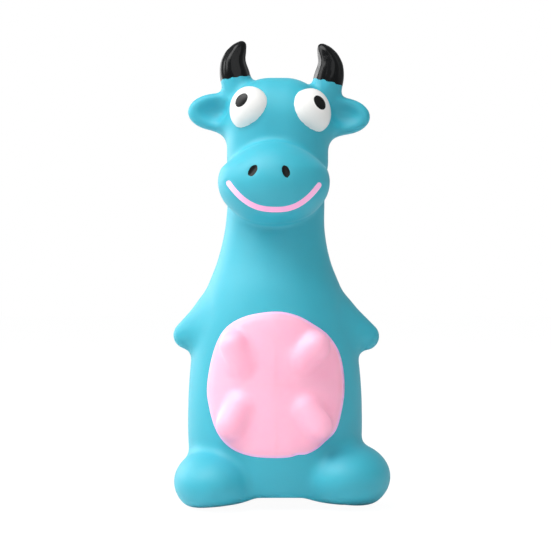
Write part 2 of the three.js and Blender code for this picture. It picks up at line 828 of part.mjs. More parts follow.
// What lies above the sloping edge of a horn's coat, moved up by a gap
function aboveEdge({ side, spread, coatRise, coatSlope }, gap) {
  const geometry = new THREE.BoxGeometry(4 * hornRadius, 4 * hornRadius, 2 * hornHeight);
  geometry.translate(0, 0, hornHeight + gap).rotateY(side * coatSlope * degree);
  geometry.translate(headOffset + side * spread, headSetBack + hornSetBack, headHeight + coatRise);
  return solidFromGeometry(geometry);
}

const hornCore = ({ path }, grow) => hornTube(path.slice(0, -1), grow - hornCoatThickness - clearance);

const bareOuter = horns.reduce(
  (solid, horn) => solid.subtract(aboveEdge(horn, 0)).add(hornCore(horn, 0)),
  outer.subtract(floorCut),
);

const skin = bareOuter
  .subtract(cavity)
  .subtract(udderPrism(clearance))
  .add(collar)
  .subtract(seatBore);

// Udder panel
function teatField({ root, tip }) {
  const spot = ([u, v]) => [u * udderHalfWidth, udderHeight + v * udderHalfHeight];
  const [rootX, rootZ] = spot(root);
  const [tipX, tipZ] = spot(tip);
  const rootY = frontOf(torso, rootX, rootZ, -halfReach, 0) + teatRootSink;
  const tipY = frontOf(torso, tipX, tipZ, -halfReach, 0) + teatTipSink;
  return taperedRod([rootX, rootY, rootZ], [tipX, tipY, tipZ], teatRootRadius, teatTipRadius);
}

const teatFields = teatPlaceShares.map(teatField);
function udder(x, y, z) {
  let value = torso(x, y, z) - udderBulgeHeight;
  for (const teat of teatFields) value = blend(value, teat(x, y, z), teatFillet);
  return value;
}

const udderMargin = 3 * udderFacetLength;
const udderLow = [-udderHalfWidth - udderMargin, -halfReach, udderHeight - udderHalfHeight - udderMargin];
const udderHigh = [udderHalfWidth + udderMargin, udderMargin, udderHeight + udderHalfHeight + udderMargin];
function udderBlank(x, y, z) {
  const beside = Math.max(udderLow[0] - x, x - udderHigh[0], y - udderHigh[1]);
  const aboveOrBelow = Math.max(udderLow[2] - z, z - udderHigh[2]);
  return Math.max(udder(x, y, z), Math.max(beside, aboveOrBelow) + udderFacetLength);
}
const udderPanel = solidFromField(udderBlank, evenGrid(udderLow, udderHigh, udderFacetLength))
  .intersect(udderPrism(0))
  .subtract(cavity);

// Filling: fluff in the cavity, clear of the panel as it is pressed in, and of the squeaker
const pressed = udderPrism(2 * clearance).subtract(cavity.translate([0, udderTravel + fillingClearance, 0]));
const flangeBottom = -clearance - squeakerFlangeThickness;
const housingTop = flangeBottom + squeakerHeight;
const capTop = housingTop + clearance + capThickness;
const squeakerRoom = turned([
  [0, -cutOverrun],
  [collarRadius + fillingClearance, -cutOverrun],
  [collarRadius + fillingClearance, capTop + fillingClearance],
  [0, capTop + fillingClearance],
], roundSides).translate(seat);
const filling = stuffing
  .subtract(pressed)
  .subtract(squeakerRoom);

// Horn coats: the horn as moulded, above its edge, over the core
function hornCoat(horn) {
  const [x, y] = horn.path[0].point.toArray();
  const edge = headHeight + horn.coatRise - hornRadius;
  const reach = hornRadius + hornFillet;
  const low = [x - reach, y - reach, edge];
  const high = [x + reach, y + reach, crown];
  const blank = (px, py, pz) => {
    const beside = Math.max(Math.abs(px - x), Math.abs(py - y)) - reach + hornFacetLength;
    return Math.max(moulding(px, py, pz), beside, edge + hornFacetLength - pz);
  };
  return solidFromField(blank, evenGrid(low, high, hornFacetLength))
    .intersect(aboveEdge(horn, clearance))
    .subtract(hornCore(horn, clearance));
}

// Eyes: an egg-shaped dome, wide end up and inward, that follows the skin behind it
function eyeFrame({ side, spread, rise, halfLong, halfShort, tilt }) {
  const x = headOffset + side * spread;
  const z = headHeight + rise;
  const y = frontOf(core, x, z, -halfReach, 0);
  const centre = new THREE.Vector3(x, y + eyeHalfDepth - eyeStandOff, z);
  return { centre, halfLong, halfShort, tilt: side * tilt * degree, turn: side * eyeTurnOut * degree };
}

// A point of the dome, from unit places across, along and out of it, moved out by a gap
function eyePoint({ centre, halfLong, halfShort, tilt, turn }, across, along, out, gap) {
  const u = across * (halfShort * (1 + eyeEggShare * along) + gap);
  const w = along * (halfLong + gap);
  const v = -out * (eyeHalfDepth + gap);
  const x = u * Math.cos(tilt) - w * Math.sin(tilt);
  const z = u * Math.sin(tilt) + w * Math.cos(tilt);
  return new THREE.Vector3(x, v, z).applyAxisAngle(upward, turn).add(centre);
}

function eyeWhite(eye) {
  const frame = eyeFrame(eye);
  const geometry = new THREE.SphereGeometry(1, eyeSpans, eyeSpans / 2);
  const { position } = geometry.attributes;
  for (let i = 0; i < position.count; i += 1) {
    const spot = eyePoint(frame, position.getX(i), position.getY(i), position.getZ(i), 0);
    position.setXYZ(i, spot.x, spot.y, spot.z);
  }
  return solidFromGeometry(geometry).subtract(grownOuter);
}

function pupil(eye) {
  const frame = eyeFrame(eye);
  const { side } = eye;
  const { out, up, tilt } = eye.pupil;
  const turn = side * tilt * degree;
  return solidFromRings(3, coatTurns, (reach, angle, outer) => {
    const u = reach * Math.cos(angle) * pupilHalfShort;
    const w = reach * Math.sin(angle) * pupilHalfLong;
    const dx = side * out + u * Math.cos(turn) - w * Math.sin(turn);
    const dz = up + u * Math.sin(turn) + w * Math.cos(turn);
    const along = (dz * Math.cos(frame.tilt) - dx * Math.sin(frame.tilt)) / frame.halfLong;
    const width = frame.halfShort * (1 + eyeEggShare * along);
    const across = (dx * Math.cos(frame.tilt) + dz * Math.sin(frame.tilt)) / width;
    const gap = outer ? clearance + coatThickness : clearance;
    return eyePoint(frame, across, along, Math.sqrt(1 - along * along - across * across), gap);
  });
}

// Nostrils and smile: coats on the muzzle
function nostril({ side, spread, rise, tilt }) {
  const centreX = muzzleCentre[0] + side * spread;
  const centreZ = muzzleCentre[2] + rise;
  const turn = side * tilt * degree;
  return solidFromRings(2, coatTurns, (reach, angle, outer) => {
    const u = reach * Math.cos(angle) * nostrilHalfShort;
    const w = reach * Math.sin(angle) * nostrilHalfLong;
    const x = centreX + u * Math.cos(turn) - w * Math.sin(turn);
    const z = centreZ + u * Math.sin(turn) + w * Math.cos(turn);
    return coatPoint(core, x, z, halfReach, outer ? clearance + coatThickness : clearance);
  });
}

function smilePlace(t) {
  const u = 2 * t - 1;
  const x = muzzleCentre[0] + u * smileHalfWidth;
  const curve = smileDepth * Math.abs(u) ** smileCurveShare;
  const slant = u * smileHalfWidth * Math.tan(smileTilt * degree);
  return new THREE.Vector2(x, muzzleCentre[2] - smileDrop + curve - slant);
}

function smile() {
  const stations = [];
  const endTurns = 3;
  const pathLength = 2 * Math.hypot(smileHalfWidth, smileDepth);
  const roundEnd = (t, direction, n) => {
    const angle = (n / endTurns) * (Math.PI / 2);
    const beyond = (direction * smileRadius * Math.cos(angle)) / pathLength;
    stations.push({ t: t + beyond, half: smileRadius * Math.sin(angle) });
  };
  for (let n = 1; n <= endTurns; n += 1) roundEnd(0, -1, n);
  for (let n = 1; n < smileSteps; n += 1) stations.push({ t: n / smileSteps, half: smileRadius });
  for (let n = endTurns; n >= 1; n -= 1) roundEnd(1, 1, n);
  const points = [];
  const lanes = [-1, 0, 1];
  for (const { t, half } of stations) {
    const spot = smilePlace(t);
    const step = slopeStepLength / pathLength;
    const along = smilePlace(t + step).sub(smilePlace(t - step)).normalize();
    for (const lane of lanes) {
      const x = spot.x - along.y * half * lane;
      const z = spot.y + along.x * half * lane;
      points.push(coatPoint(core, x, z, halfReach, clearance + coatThickness));
      points.push(coatPoint(core, x, z, halfReach, clearance));
    }
  }
  const at = (station, lane, outer) => station * 6 + lane * 2 + (outer ? 0 : 1);
  const triangles = [];
  const quad = (a, b, c, d) => triangles.push([a, b, c], [a, c, d]);
  const last = stations.length - 1;
  for (let n = 0; n < last; n += 1) {
    for (let lane = 0; lane < 2; lane += 1) {
      quad(at(n, lane, true), at(n + 1, lane, true), at(n + 1, lane + 1, true), at(n, lane + 1, true));
      quad(at(n, lane + 1, false), at(n + 1, lane + 1, false), at(n + 1, lane, false), at(n, lane, false));
    }
    quad(at(n, 0, false), at(n + 1, 0, false), at(n + 1, 0, true), at(n, 0, true));
    quad(at(n, 2, true), at(n + 1, 2, true), at(n + 1, 2, false), at(n, 2, false));
  }
  for (let lane = 0; lane < 2; lane += 1) {
    quad(at(0, lane, false), at(0, lane, true), at(0, lane + 1, true), at(0, lane + 1, false));
    quad(at(last, lane + 1, false), at(last, lane + 1, true), at(last, lane, true), at(last, lane, false));
  }
  return solidFromTriangles(points, triangles);
}

// Squeaker
const housingBore = squeakerRadius - squeakerWall;
const housing = turned([
  [airHoleRadius, flangeBottom],
  [squeakerFlangeRadius, flangeBottom],
  [squeakerFlangeRadius, -clearance],
  [squeakerRadius, -clearance],
  [squeakerRadius, collarHeight + clearance],
  [squeakerRadius + squeakerLip, collarHeight + clearance],
  [squeakerRadius, collarHeight + clearance + squeakerLipHeight],
  [squeakerRadius, housingTop],
  [housingBore, housingTop],
  [housingBore, reedLift],
  [housingBore - squeakerWall, reedLift],
  [housingBore - squeakerWall, -clearance],
  [airHoleRadius, -clearance],
], roundSides).translate(seat);

const plateBottom = reedLift + clearance;
const plateTop = plateBottom + reedPlateThickness;
const plateRadius = housingBore - clearance;
const reedPlate = turned([
  [0, plateBottom],
  [plateRadius, plateBottom],
  [plateRadius, plateTop],
  [0, plateTop],
], roundSides)
  .subtract(block([0, 0, plateTop], [reedSlotWidth, reedSlotLength, 4 * reedPlateThickness]))
  .translate(seat);

// The tongue tapers from its root, behind, to a round tip, and lies over the slot
const tongueBottom = plateTop + clearance;
const tongueTop = tongueBottom + reedThickness;
const tongueShape = new THREE.Shape();
tongueShape.moveTo(reedWidth / 2, reedLength / 2);
tongueShape.lineTo(-reedWidth / 2, reedLength / 2);
tongueShape.lineTo(-reedTipRadius, reedTipRadius - reedLength / 2);
tongueShape.absarc(0, reedTipRadius - reedLength / 2, reedTipRadius, Math.PI, 2 * Math.PI, false);
const reedTongue = solidFromGeometry(new THREE.ExtrudeGeometry(tongueShape, {
  depth: reedThickness,
  bevelEnabled: false,
  steps: 1,
  curveSegments: coatTurns / 2,
}).translate(seat[0], seat[1], seat[2] + tongueBottom));

// The clamp bridges the root of the tongue and stands on the plate beside it
const clampPlace = (reedLength - reedClampLength) / 2 + clearance;
const reedClamp = block(
  [0, clampPlace, plateTop + clearance + reedClampHeight / 2],
  [reedClampWidth, reedClampLength, reedClampHeight],
).subtract(block(
  [0, clampPlace, plateTop],
  [reedWidth + 2 * clearance, 2 * reedClampLength, 2 * (tongueTop + clearance - plateTop)],
)).translate(seat);

const capHole = (turn) => turned([
  [0, -cutOverrun],
  [capHoleRadius, -cutOverrun],
  [capHoleRadius, cutOverrun],
  [0, cutOverrun],
], roundSides / 2).translate([
  capHoleRing * Math.cos((2 * Math.PI * turn) / capHoleCount),
  capHoleRing * Math.sin((2 * Math.PI * turn) / capHoleCount),
  0,
]);
let cap = turned([
  [0, housingTop + clearance],
  [plateRadius - squeakerWall, housingTop + clearance],
  [plateRadius - squeakerWall, housingTop - squeakerWall],
  [plateRadius, housingTop - squeakerWall],
  [plateRadius, housingTop + clearance],
  [squeakerRadius, housingTop + clearance],
  [squeakerRadius, capTop],
  [0, capTop],
], roundSides);
for (let turn = 0; turn < capHoleCount; turn += 1) cap = cap.subtract(capHole(turn));
const squeakerCap = cap.translate(seat);

// Finishes
const blueLatex = new THREE.MeshStandardMaterial({ color: 0x5cc3db, roughness: 0.55, metalness: 0 });
const pinkLatex = new THREE.MeshStandardMaterial({ color: 0xfbc5dc, roughness: 0.55, metalness: 0 });
const hornBlack = new THREE.MeshStandardMaterial({ color: 0x1d2122, roughness: 0.25, metalness: 0 });
const eyeIvory = new THREE.MeshStandardMaterial({ color: 0xf4f3ef, roughness: 0.4, metalness: 0 });
const pupilBlack = new THREE.MeshStandardMaterial({ color: 0x121210, roughness: 0.3, metalness: 0 });
const smilePink = new THREE.MeshStandardMaterial({ color: 0xf7c6e3, roughness: 0.5, metalness: 0 });
const clearPlastic = new THREE.MeshStandardMaterial({ color: 0xe9ebe6, roughness: 0.35, metalness: 0 });
const reedBrass = new THREE.MeshStandardMaterial({ color: 0xc9a24a, roughness: 0.3, metalness: 1 });
const whiteFluff = new THREE.MeshStandardMaterial({ color: 0xf5f4f0, roughness: 1, metalness: 0 });

const group = new THREE.Group();

function addPiece(name, solid, material) {
  const { vertProperties, triVerts } = solid.getMesh();
  const geometry = new THREE.BufferGeometry();
  geometry.setAttribute('position', new THREE.BufferAttribute(new Float32Array(vertProperties), 3));
  geometry.setIndex(new THREE.BufferAttribute(new Uint32Array(triVerts), 1));
  geometry.computeVertexNormals();
  const mesh = new THREE.Mesh(geometry, material);
  mesh.name = name;
  group.add(mesh);
}

addPiece('latex_skin', skin, blueLatex);
addPiece('udder_panel', udderPanel, pinkLatex);
for (const horn of horns) addPiece(`${horn.name}_horn_coat`, hornCoat(horn), hornBlack);
for (const eye of eyeSides) {
  addPiece(`${eye.name}_eye_white`, eyeWhite(eye), eyeIvory);
  addPiece(`${eye.name}_pupil`, pupil(eye), pupilBlack);
}
for (const nose of nostrilSides) addPiece(`${nose.name}_nostril`, nostril(nose), pupilBlack);
addPiece('smile_line', smile(), smilePink);
addPiece('squeaker_housing', housing, clearPlastic);
addPiece('reed_plate', reedPlate, clearPlastic);
addPiece('reed_tongue', reedTongue, reedBrass);
addPiece('reed_clamp', reedClamp, clearPlastic);
addPiece('squeaker_cap', squeakerCap, clearPlastic);
addPiece('soft_filling', filling, whiteFluff);

// The origin is on the floor, under the middle of the toy
const extent = new THREE.Box3().setFromObject(group);
const middle = extent.getCenter(new THREE.Vector3());
group.position.set(-middle.x, -middle.y, -extent.min.z);

export default group;
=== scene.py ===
"""Squeaky dog toy: an upright cow moulded in soft latex, with glossy horns, domed eyes and a pink udder."""

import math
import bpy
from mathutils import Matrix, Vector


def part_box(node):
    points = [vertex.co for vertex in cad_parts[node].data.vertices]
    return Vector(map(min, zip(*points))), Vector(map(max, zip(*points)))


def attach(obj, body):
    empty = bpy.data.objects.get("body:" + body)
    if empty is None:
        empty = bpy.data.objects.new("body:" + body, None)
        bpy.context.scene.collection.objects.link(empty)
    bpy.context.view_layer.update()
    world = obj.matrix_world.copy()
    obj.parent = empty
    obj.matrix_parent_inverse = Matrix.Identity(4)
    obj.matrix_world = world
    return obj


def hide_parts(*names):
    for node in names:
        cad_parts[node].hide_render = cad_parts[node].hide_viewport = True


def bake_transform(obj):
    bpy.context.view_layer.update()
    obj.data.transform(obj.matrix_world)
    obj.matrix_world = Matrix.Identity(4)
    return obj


bl_info = {
    "name": "Squeaky Cow Toy",
    "version": (1, 0, 0),
    "blender": (4, 5, 0),
    "location": "View3D > Sidebar > Cow Toy",
    "description": "Builds the moulded latex cow around its working parts",
    "category": "Object",
}

import bpy
import numpy as np
from mathutils import Vector

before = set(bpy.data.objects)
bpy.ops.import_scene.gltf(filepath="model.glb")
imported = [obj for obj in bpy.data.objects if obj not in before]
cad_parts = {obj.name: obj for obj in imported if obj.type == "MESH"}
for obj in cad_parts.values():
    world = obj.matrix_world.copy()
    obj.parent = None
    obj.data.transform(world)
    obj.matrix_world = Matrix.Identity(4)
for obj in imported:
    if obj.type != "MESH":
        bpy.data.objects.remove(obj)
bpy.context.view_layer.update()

MM = 0.001
TINY = 1e-9

# Torso and neck, in millimetres; shares follow the height from the floor to the neck's top
TORSO_HEIGHT = 116
TORSO_STEP = 0.05
BELLY_HALF_WIDTH = 33.7
NECK_HALF_WIDTH = 18.6
NECK_LEAN = 0.8
BELLY_DEPTH_SHARE = 0.86
NECK_DEPTH_SHARE = 0.98
DEPTH_TURN_SHARES = (0.35, 0.85)
BELLY_SHARES = [0.7, 0.9, 0.975, 0.985, 0.955, 0.875, 0.735, 0.505, 0.21, 0.043, 0]
LEAN_SHARES = [-0.5, -0.5, -0.5, -0.5, -0.5, -0.6, -0.8, -0.95, -1, -0.6, 0.1]
BASE_FILLET = 9
NECK_FILLET = 10
SOLE_CUT = 0.7
LATEX_WALL = 2.2

# Head and muzzle; behind a depth of HEAD_FILLET_FROM the fillet to the torso grows over HEAD_FILLET_RUN
HEAD_CENTRE = (0.6, -2.5, 138.8)
HEAD_HALVES = (19.4, 17.3, 24.2)
HEAD_CORNER = 16.5
HEAD_FILLET = 2.5
HEAD_FILLET_BEHIND = 5
HEAD_FILLET_FROM = -4
HEAD_FILLET_RUN = 10
MUZZLE_CENTRE = (-0.8, -17.5, 122.4)
MUZZLE_RADII = (21, 19.5, 16.2)
MUZZLE_FILLET = 3
MUZZLE_TAPER_SHARE = 0.35
MUZZLE_TAPER_FROM_SHARE = 0.3
MUZZLE_TOP_LOW_SHARE = 0.06

# Horns: the path gives each point's way outward and upward and its radius
HORN_RADIUS = 5.6
HORN_HEIGHT = 15.4
HORN_BEND = 1.5
HORN_SET_BACK = 3
HORN_FILLET = 4
HORN_PATH_SHARES = [
    (0, 0, 1), (0.4, 0.2, 0.95), (0.8, 0.38, 0.85), (0.95, 0.54, 0.74), (0.5, 0.72, 0.6),
    (-0.4, 0.87, 0.44), (-1.3, 1, 0.3),
]
HORNS = [
    {"name": "left", "side": -1, "spread": 15.7, "rise": 21.9, "edge": 24.4, "slope": 9},
    {"name": "right", "side": 1, "spread": 19, "rise": 20.9, "edge": 22.9, "slope": 15},
]
HORN_FLUTES = 6
HORN_FLUTE_DEPTH = 0.4
HORN_FLUTE_TURN = 0.9
HORN_FLUTE_START = 1
HORN_FLUTE_FADE_IN = 4
HORN_FLUTE_FADE_OUT = 3

# Waves in the edge of a horn's coat: height, turns per millimetre across and backward, and shift
HORN_EDGE_WAVES = [(0.22, 1.9, 0, 1), (0.14, 3.1, 2.7, 0)]
HORN_EDGE_REACH = 12

# Ears, arms and feet
EAR_RADII = (11.5, 5.4, 7.2)
EAR_CUP_RADII = (8.3, 5.6, 4.9)
EAR_CUP_PLACE = (0.7, -6.2, 0.1)
EAR_SET_BACK = 3.5
EAR_FILLET = 5
EAR_FILLET_BELOW = 3.5
EAR_FILLET_RUN = 7
EAR_LIP = 3.2
EARS = [
    {"side": -1, "spread": 23.1, "rise": 11.6, "droop": 0},
    {"side": 1, "spread": 24.2, "rise": 10, "droop": 2},
]
SHOULDER_SPREAD = 21.5
SHOULDER_HEIGHT = 68.5
HAND_RADIUS = 5.3
ARM_SET_FORWARD = 1
ARM_FILLET = 4.5
ARMS = [
    {"side": -1, "spread": 34.2, "height": 64.4, "shoulder": 11.9},
    {"side": 1, "spread": 34.4, "height": 63.9, "shoulder": 11.2},
]
FOOT_HALF_DEPTH = 22
FOOT_EDGE = 2.5
FOOT_FILLET = 3.8
FOOT_SOLE_SLOPE = 0.25
FEET = [
    {"side": -1, "spread": 22.9, "forward": 12.5, "height": 9.6, "half_width": 15.6, "half_height": 12.6,
     "flat_from": 24, "flat_forward": 20.5},
    {"side": 1, "spread": 26.1, "forward": 10.3, "height": 11.3, "half_width": 17.2, "half_height": 13.1,
     "flat_from": 28, "flat_forward": 15},
]
ARCH_RADII = (25, 29, 4.9)
ARCH_FORWARD = 12
ARCH_FILLET = 3

# Where each limb is blended in: the middle, half the width, and the limits in depth and in height
ARM_MIDDLE = 28
EAR_MIDDLE = 24
HORN_MIDDLE = 17
ARM_ROOM = (28, (-24, 24), (40, 98))
EAR_ROOM = (24, (-18, 20), (124, 170))
HORN_ROOM = (15, (-13, 14), (148, 190))
FOOT_ROOM = (24, (-46, 25), (-9, 34))

# Udder and teats
UDDER_HEIGHT = 47
UDDER_HALVES = (25.9, 27)
UDDER_BULGE = 0.7
UDDER_BULGE_SLOPE = 3
UDDER_PRESS_FLAT = 0.12
UDDER_RIM_DEPTH = 11
UDDER_POINTS = 112
UDDER_OUTLINE_SHARES = [
    (0, 1), (0.3, 0.945), (0.54, 0.82), (0.74, 0.68), (0.9, 0.46), (0.975, 0.19), (0.99, -0.13),
    (0.935, -0.44), (0.855, -0.66), (0.71, -0.79), (0.575, -0.895), (0.43, -0.955), (0.31, -0.96),
    (0.2, -0.99), (0, -1), (-0.32, -0.985), (-0.58, -0.915), (-0.76, -0.79), (-0.885, -0.6),
    (-0.97, -0.32), (-1, -0.06), (-0.94, 0.31), (-0.83, 0.62), (-0.67, 0.815), (-0.4, 0.945),
]
TEAT_ROOT_RADIUS = 6.2
TEAT_TIP_RADIUS = 5.5
TEAT_ROOT_SINK = 2.7
TEAT_TIP_SINK = -0.6
TEAT_FILLET = 2.2
TEAT_PLACE_SHARES = [
    ((-0.47, 0.3), (-0.6, 0.54)), ((0.38, 0.36), (0.56, 0.52)),
    ((-0.5, -0.31), (-0.65, -0.56)), ((0.41, -0.35), (0.6, -0.57)),
]

# Eyes, nostrils and smile
EYE_HALF_DEPTH = 6
EYE_EGG_SHARE = 0.13
EYE_STAND_OFF = 3.6
EYE_TURN_OUT = 20
EYES = [
    {"name": "left", "side": -1, "spread": 10.9, "rise": 11.5, "half_long": 8.3, "half_short": 7.45,
     "tilt": 34},
    {"name": "right", "side": 1, "spread": 12.6, "rise": 10.5, "half_long": 8.6, "half_short": 7.85,
     "tilt": 38},
]
PUPIL_HALVES = (2.15, 3)
PUPILS = [{"side": -1, "out": 0.9, "up": 2.6, "tilt": 42}, {"side": 1, "out": 1.5, "up": 2.8, "tilt": 36}]
NOSTRIL_HALVES = (1.4, 2.45)
NOSTRIL_DEPTH = 0.7
NOSTRIL_RIM = 0.5
NOSTRIL_SLOPE = 1.6
NOSTRILS = [
    {"name": "left", "side": -1, "spread": 7.7, "rise": 3.2, "tilt": 33},
    {"name": "right", "side": 1, "spread": 4.4, "rise": 2.8, "tilt": 18},
]
SMILE_HALF_WIDTH = 16.7
SMILE_DROP = 10.9
SMILE_DEPTH = 9.5
SMILE_TILT = 1.2
SMILE_RADIUS = 0.95
SMILE_CURVE_SHARE = 2.5
SMILE_POINTS = 81
SMILE_GROOVE = 0.35
SMILE_GROOVE_RIM = 0.7
SMILE_GROOVE_SLOPE = 1.2
SMILE_PALE_FROM_SHARE = 0.5

# Where the details in front are looked for: in front of a depth, and between two heights
MUZZLE_ROOM = (-14, 104, 134)
UDDER_ROOM = (-2, 12, 82)
EYE_ROOM = (2, 134, math.inf)

# What an edge's distance is taken as where it isn't looked for
FAR = 10.0

# Squeaker seat in the base, and the fibre round it
SEAT_SET_BACK = 3
SEAT_HEIGHT = 4.4
SEAT_BORE_RADIUS = 10.9
SEAT_ROOM_TOP = 8
FIBRE_CELL = 3.2
FIBRE_GAP = 1.6
FIBRE_TUFT = 0.5
FIBRE_TUFT_TURNS = (0.9, 0.8, 0.85)
FIBRE_POCKET_RIM = 1.5
FIBRE_POCKET_DEPTH = -15.5
FIBRE_WELL_RADIUS = 12.5
FIBRE_WELL_TOP = 17.8

# Drawing: the box that is sampled, steps and limits, and how near an edge a point counts as on it
DRAW_LOW = (-46.0, -40.0, -3.0)
DRAW_HIGH = (46.0, 40.0, 182.0)
SLOPE_STEP = 0.04
LEAST_SLOPE = 0.1
LEAST_EDGE_SLOPE = 0.05
EVEN_SHARE = 0.5
NEAR_LINE_SHARE = 0.3
SIGHT_REACH = 60.0
SIGHT_POINTS = 241
SIGHT_HALVINGS = 30
SHARP_ANGLE = 50
ON_RIM = 0.2
ON_SEAM = 0.1
RIM_HIGHLIGHT_REACH = 5

# Stage, in metres, with the lamps placed from the point that they aim at
LAMPS = {
    "Key": (-0.32, -0.32, 0.78),
    "Side": (-0.71, -0.19, 0.52),
    "Rim": (-0.67, 0.56, 0.23),
    "Front": (0.19, -0.71, 0.52),
}
LAMP_SIZE = 0.6
LAMP_AIM_HEIGHT = 0.09
SENSOR_WIDTH = 36
CAMERA_ASIDE = 0.0002
FLOOR_REACH = 3.0
FLOOR_DROP = 0.0001
FLOOR_GLOW = 1.07
FLOOR_GLOW_SHARE = 0.9
WHITE = (1, 1, 1, 1)

housing_low, housing_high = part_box("squeaker_housing")
SHIFT = (
    (housing_low[0] + housing_high[0]) / 2,
    (housing_low[1] + housing_high[1]) / 2 - SEAT_SET_BACK * MM,
    0.0,
)


# ---- Fields: about the distance from points to a surface, in millimetres, negative inside

def blend(a, b, fillet):
    """Join two fields with a fillet."""
    share = np.maximum(fillet - np.abs(a - b), 0) / fillet
    return np.minimum(a, b) - share * share * fillet / 4


def blend_keep(a, b, fillet):
    """Keep what both fields hold, with a rounded edge."""
    return -blend(-a, -b, fillet)


def through(p0, p1, p2, p3, t):
    """A smooth curve from p1 to p2 that also follows the points before and after them."""
    first, second, third = p2 - p0, 2 * p0 - 5 * p1 + 4 * p2 - p3, 3 * p1 - p0 - 3 * p2 + p3
    return p1 + (first * t + second * t * t + third * t * t * t) / 2


def along_table(table, place):
    """Read a smooth value from a table of evenly spaced shares."""
    table = np.asarray(table, float)
    padded = np.concatenate([[2 * table[0] - table[1]], table, [2 * table[-1] - table[-2]]])
    spot = np.clip(place, 0, 1) * (len(table) - 1)
    low = np.minimum(spot.astype(int), len(table) - 2)
    return through(*(padded[low + n] for n in range(4)), spot - low)


def smooth_step(t):
    held = np.clip(t, 0, 1)
    return held * held * (3 - 2 * held)


def stretched_ball(places, radii):
    """A ball stretched along its own axes, from the places of points along them."""
    u, v, w = (place / radius for place, radius in zip(places, radii))
    reach = np.sqrt(u * u + v * v + w * w) + TINY
    slope = np.sqrt((u / radii[0]) ** 2 + (v / radii[1]) ** 2 + (w / radii[2]) ** 2) + TINY
    return reach * (reach - 1) / slope


def ellipsoid(p, centre, radii, tilt=0.0):
    """A stretched ball, tilted in the frontal plane by degrees."""
    cos, sin = math.cos(math.radians(tilt)), math.sin(math.radians(tilt))
    dx, dz = p[:, 0] - centre[0], p[:, 2] - centre[2]
    return stretched_ball((dx * cos - dz * sin, p[:, 1] - centre[1], dx * sin + dz * cos), radii)


def rounded_block(p, centre, halves, corner):
    d = np.abs(p - np.array(centre)) - np.array(halves) + corner
    return np.linalg.norm(np.maximum(d, 0), axis=1) + np.minimum(d.max(axis=1), 0) - corner


def tapered_rod(p, start, end, start_radius, end_radius):
    """Two balls and the cone that touches both."""
    run = np.array(end) - np.array(start)
    length = np.linalg.norm(run)
    taper = (start_radius - end_radius) / length
    away = p - np.array(start)
    along = away @ run / length
    aside = np.sqrt(np.maximum((away ** 2).sum(axis=1) - along ** 2, 0))
    spot = np.clip(along - aside * taper / math.sqrt(1 - taper * taper), 0, length)
    return np.hypot(along - spot, aside) - start_radius + taper * spot


def in_front(p, room):
    """Whether points lie in front of a depth and between two heights."""
    depth, low, high = room
    return (p[:, 1] < depth) & (p[:, 2] > low) & (p[:, 2] < high)


def torso(p):
    place = p[:, 2] / TORSO_HEIGHT
    span = BELLY_HALF_WIDTH - NECK_HALF_WIDTH
    radius = NECK_HALF_WIDTH + span * along_table(BELLY_SHARES, place)
    step = TORSO_STEP / TORSO_HEIGHT
    rise = along_table(BELLY_SHARES, place + step) - along_table(BELLY_SHARES, place - step)
    slope = rise * span / (2 * TORSO_STEP)
    start, end = DEPTH_TURN_SHARES
    turn = smooth_step((place - start) / (end - start))
    depth_share = BELLY_DEPTH_SHARE + (NECK_DEPTH_SHARE - BELLY_DEPTH_SHARE) * turn
    lean = NECK_LEAN * along_table(LEAN_SHARES, place)
    around = (np.hypot(p[:, 0] - lean, p[:, 1] / depth_share) - radius) / np.hypot(1, slope)
    under_top = blend_keep(around, p[:, 2] - TORSO_HEIGHT - NECK_FILLET, NECK_FILLET)
    return blend_keep(under_top, -SOLE_CUT - p[:, 2], BASE_FILLET)


def head(p):
    """The skull with the muzzle in front, which narrows and flattens towards its top."""
    skull = rounded_block(p, HEAD_CENTRE, HEAD_HALVES, HEAD_CORNER)
    up = (p[:, 2] - MUZZLE_CENTRE[2]) / MUZZLE_RADII[2]
    narrow = 1 - MUZZLE_TAPER_SHARE * np.clip(up - MUZZLE_TAPER_FROM_SHARE, 0, 1)
    across = MUZZLE_CENTRE[0] + (p[:, 0] - MUZZLE_CENTRE[0]) / narrow
    height = p[:, 2] + MUZZLE_TOP_LOW_SHARE * np.maximum(p[:, 2] - MUZZLE_CENTRE[2], 0)
    drawn_in = np.stack([across, p[:, 1], height], axis=1)
    return blend(skull, ellipsoid(drawn_in, MUZZLE_CENTRE, MUZZLE_RADII), MUZZLE_FILLET)


def foot(p, side, spread, forward, height, half_width, half_height, flat_from, flat_forward):
    """A ball with a flat sole that rises a little towards the middle and the front."""
    ball = ellipsoid(p, (side * spread, -forward, height), (half_width, FOOT_HALF_DEPTH, half_height))
    inner = FOOT_SOLE_SLOPE * (flat_from - side * p[:, 0])
    front = FOOT_SOLE_SLOPE * (-flat_forward - p[:, 1])
    sole = blend_keep(inner, front, FOOT_EDGE) - p[:, 2]
    return blend_keep(ball, blend_keep(sole, -SOLE_CUT - p[:, 2], FOOT_EDGE), FOOT_EDGE)


def add_near(value, p, field, sizes, fillet, x, room):
    """Blend a limb into a field, where the points are near it."""
    half, (front, back), (bottom, top) = room
    near = np.all((p > (x - half, front, bottom)) & (p < (x + half, back, top)), axis=1)
    if near.any():
        value[near] = blend(value[near], field(p[near], **sizes), np.broadcast_to(fillet, len(p))[near])
    return value


def core(p):
    """Torso, head and feet: the parts of the moulding that are hollow."""
    behind = smooth_step((p[:, 1] - HEAD_FILLET_FROM) / HEAD_FILLET_RUN)
    value = blend(torso(p), head(p), HEAD_FILLET + HEAD_FILLET_BEHIND * behind)
    value = blend_keep(value, -ellipsoid(p, (0, -ARCH_FORWARD, 0), ARCH_RADII), ARCH_FILLET)
    for place in FEET:
        value = add_near(value, p, foot, place, FOOT_FILLET, place["side"] * place["spread"], FOOT_ROOM)
    return value


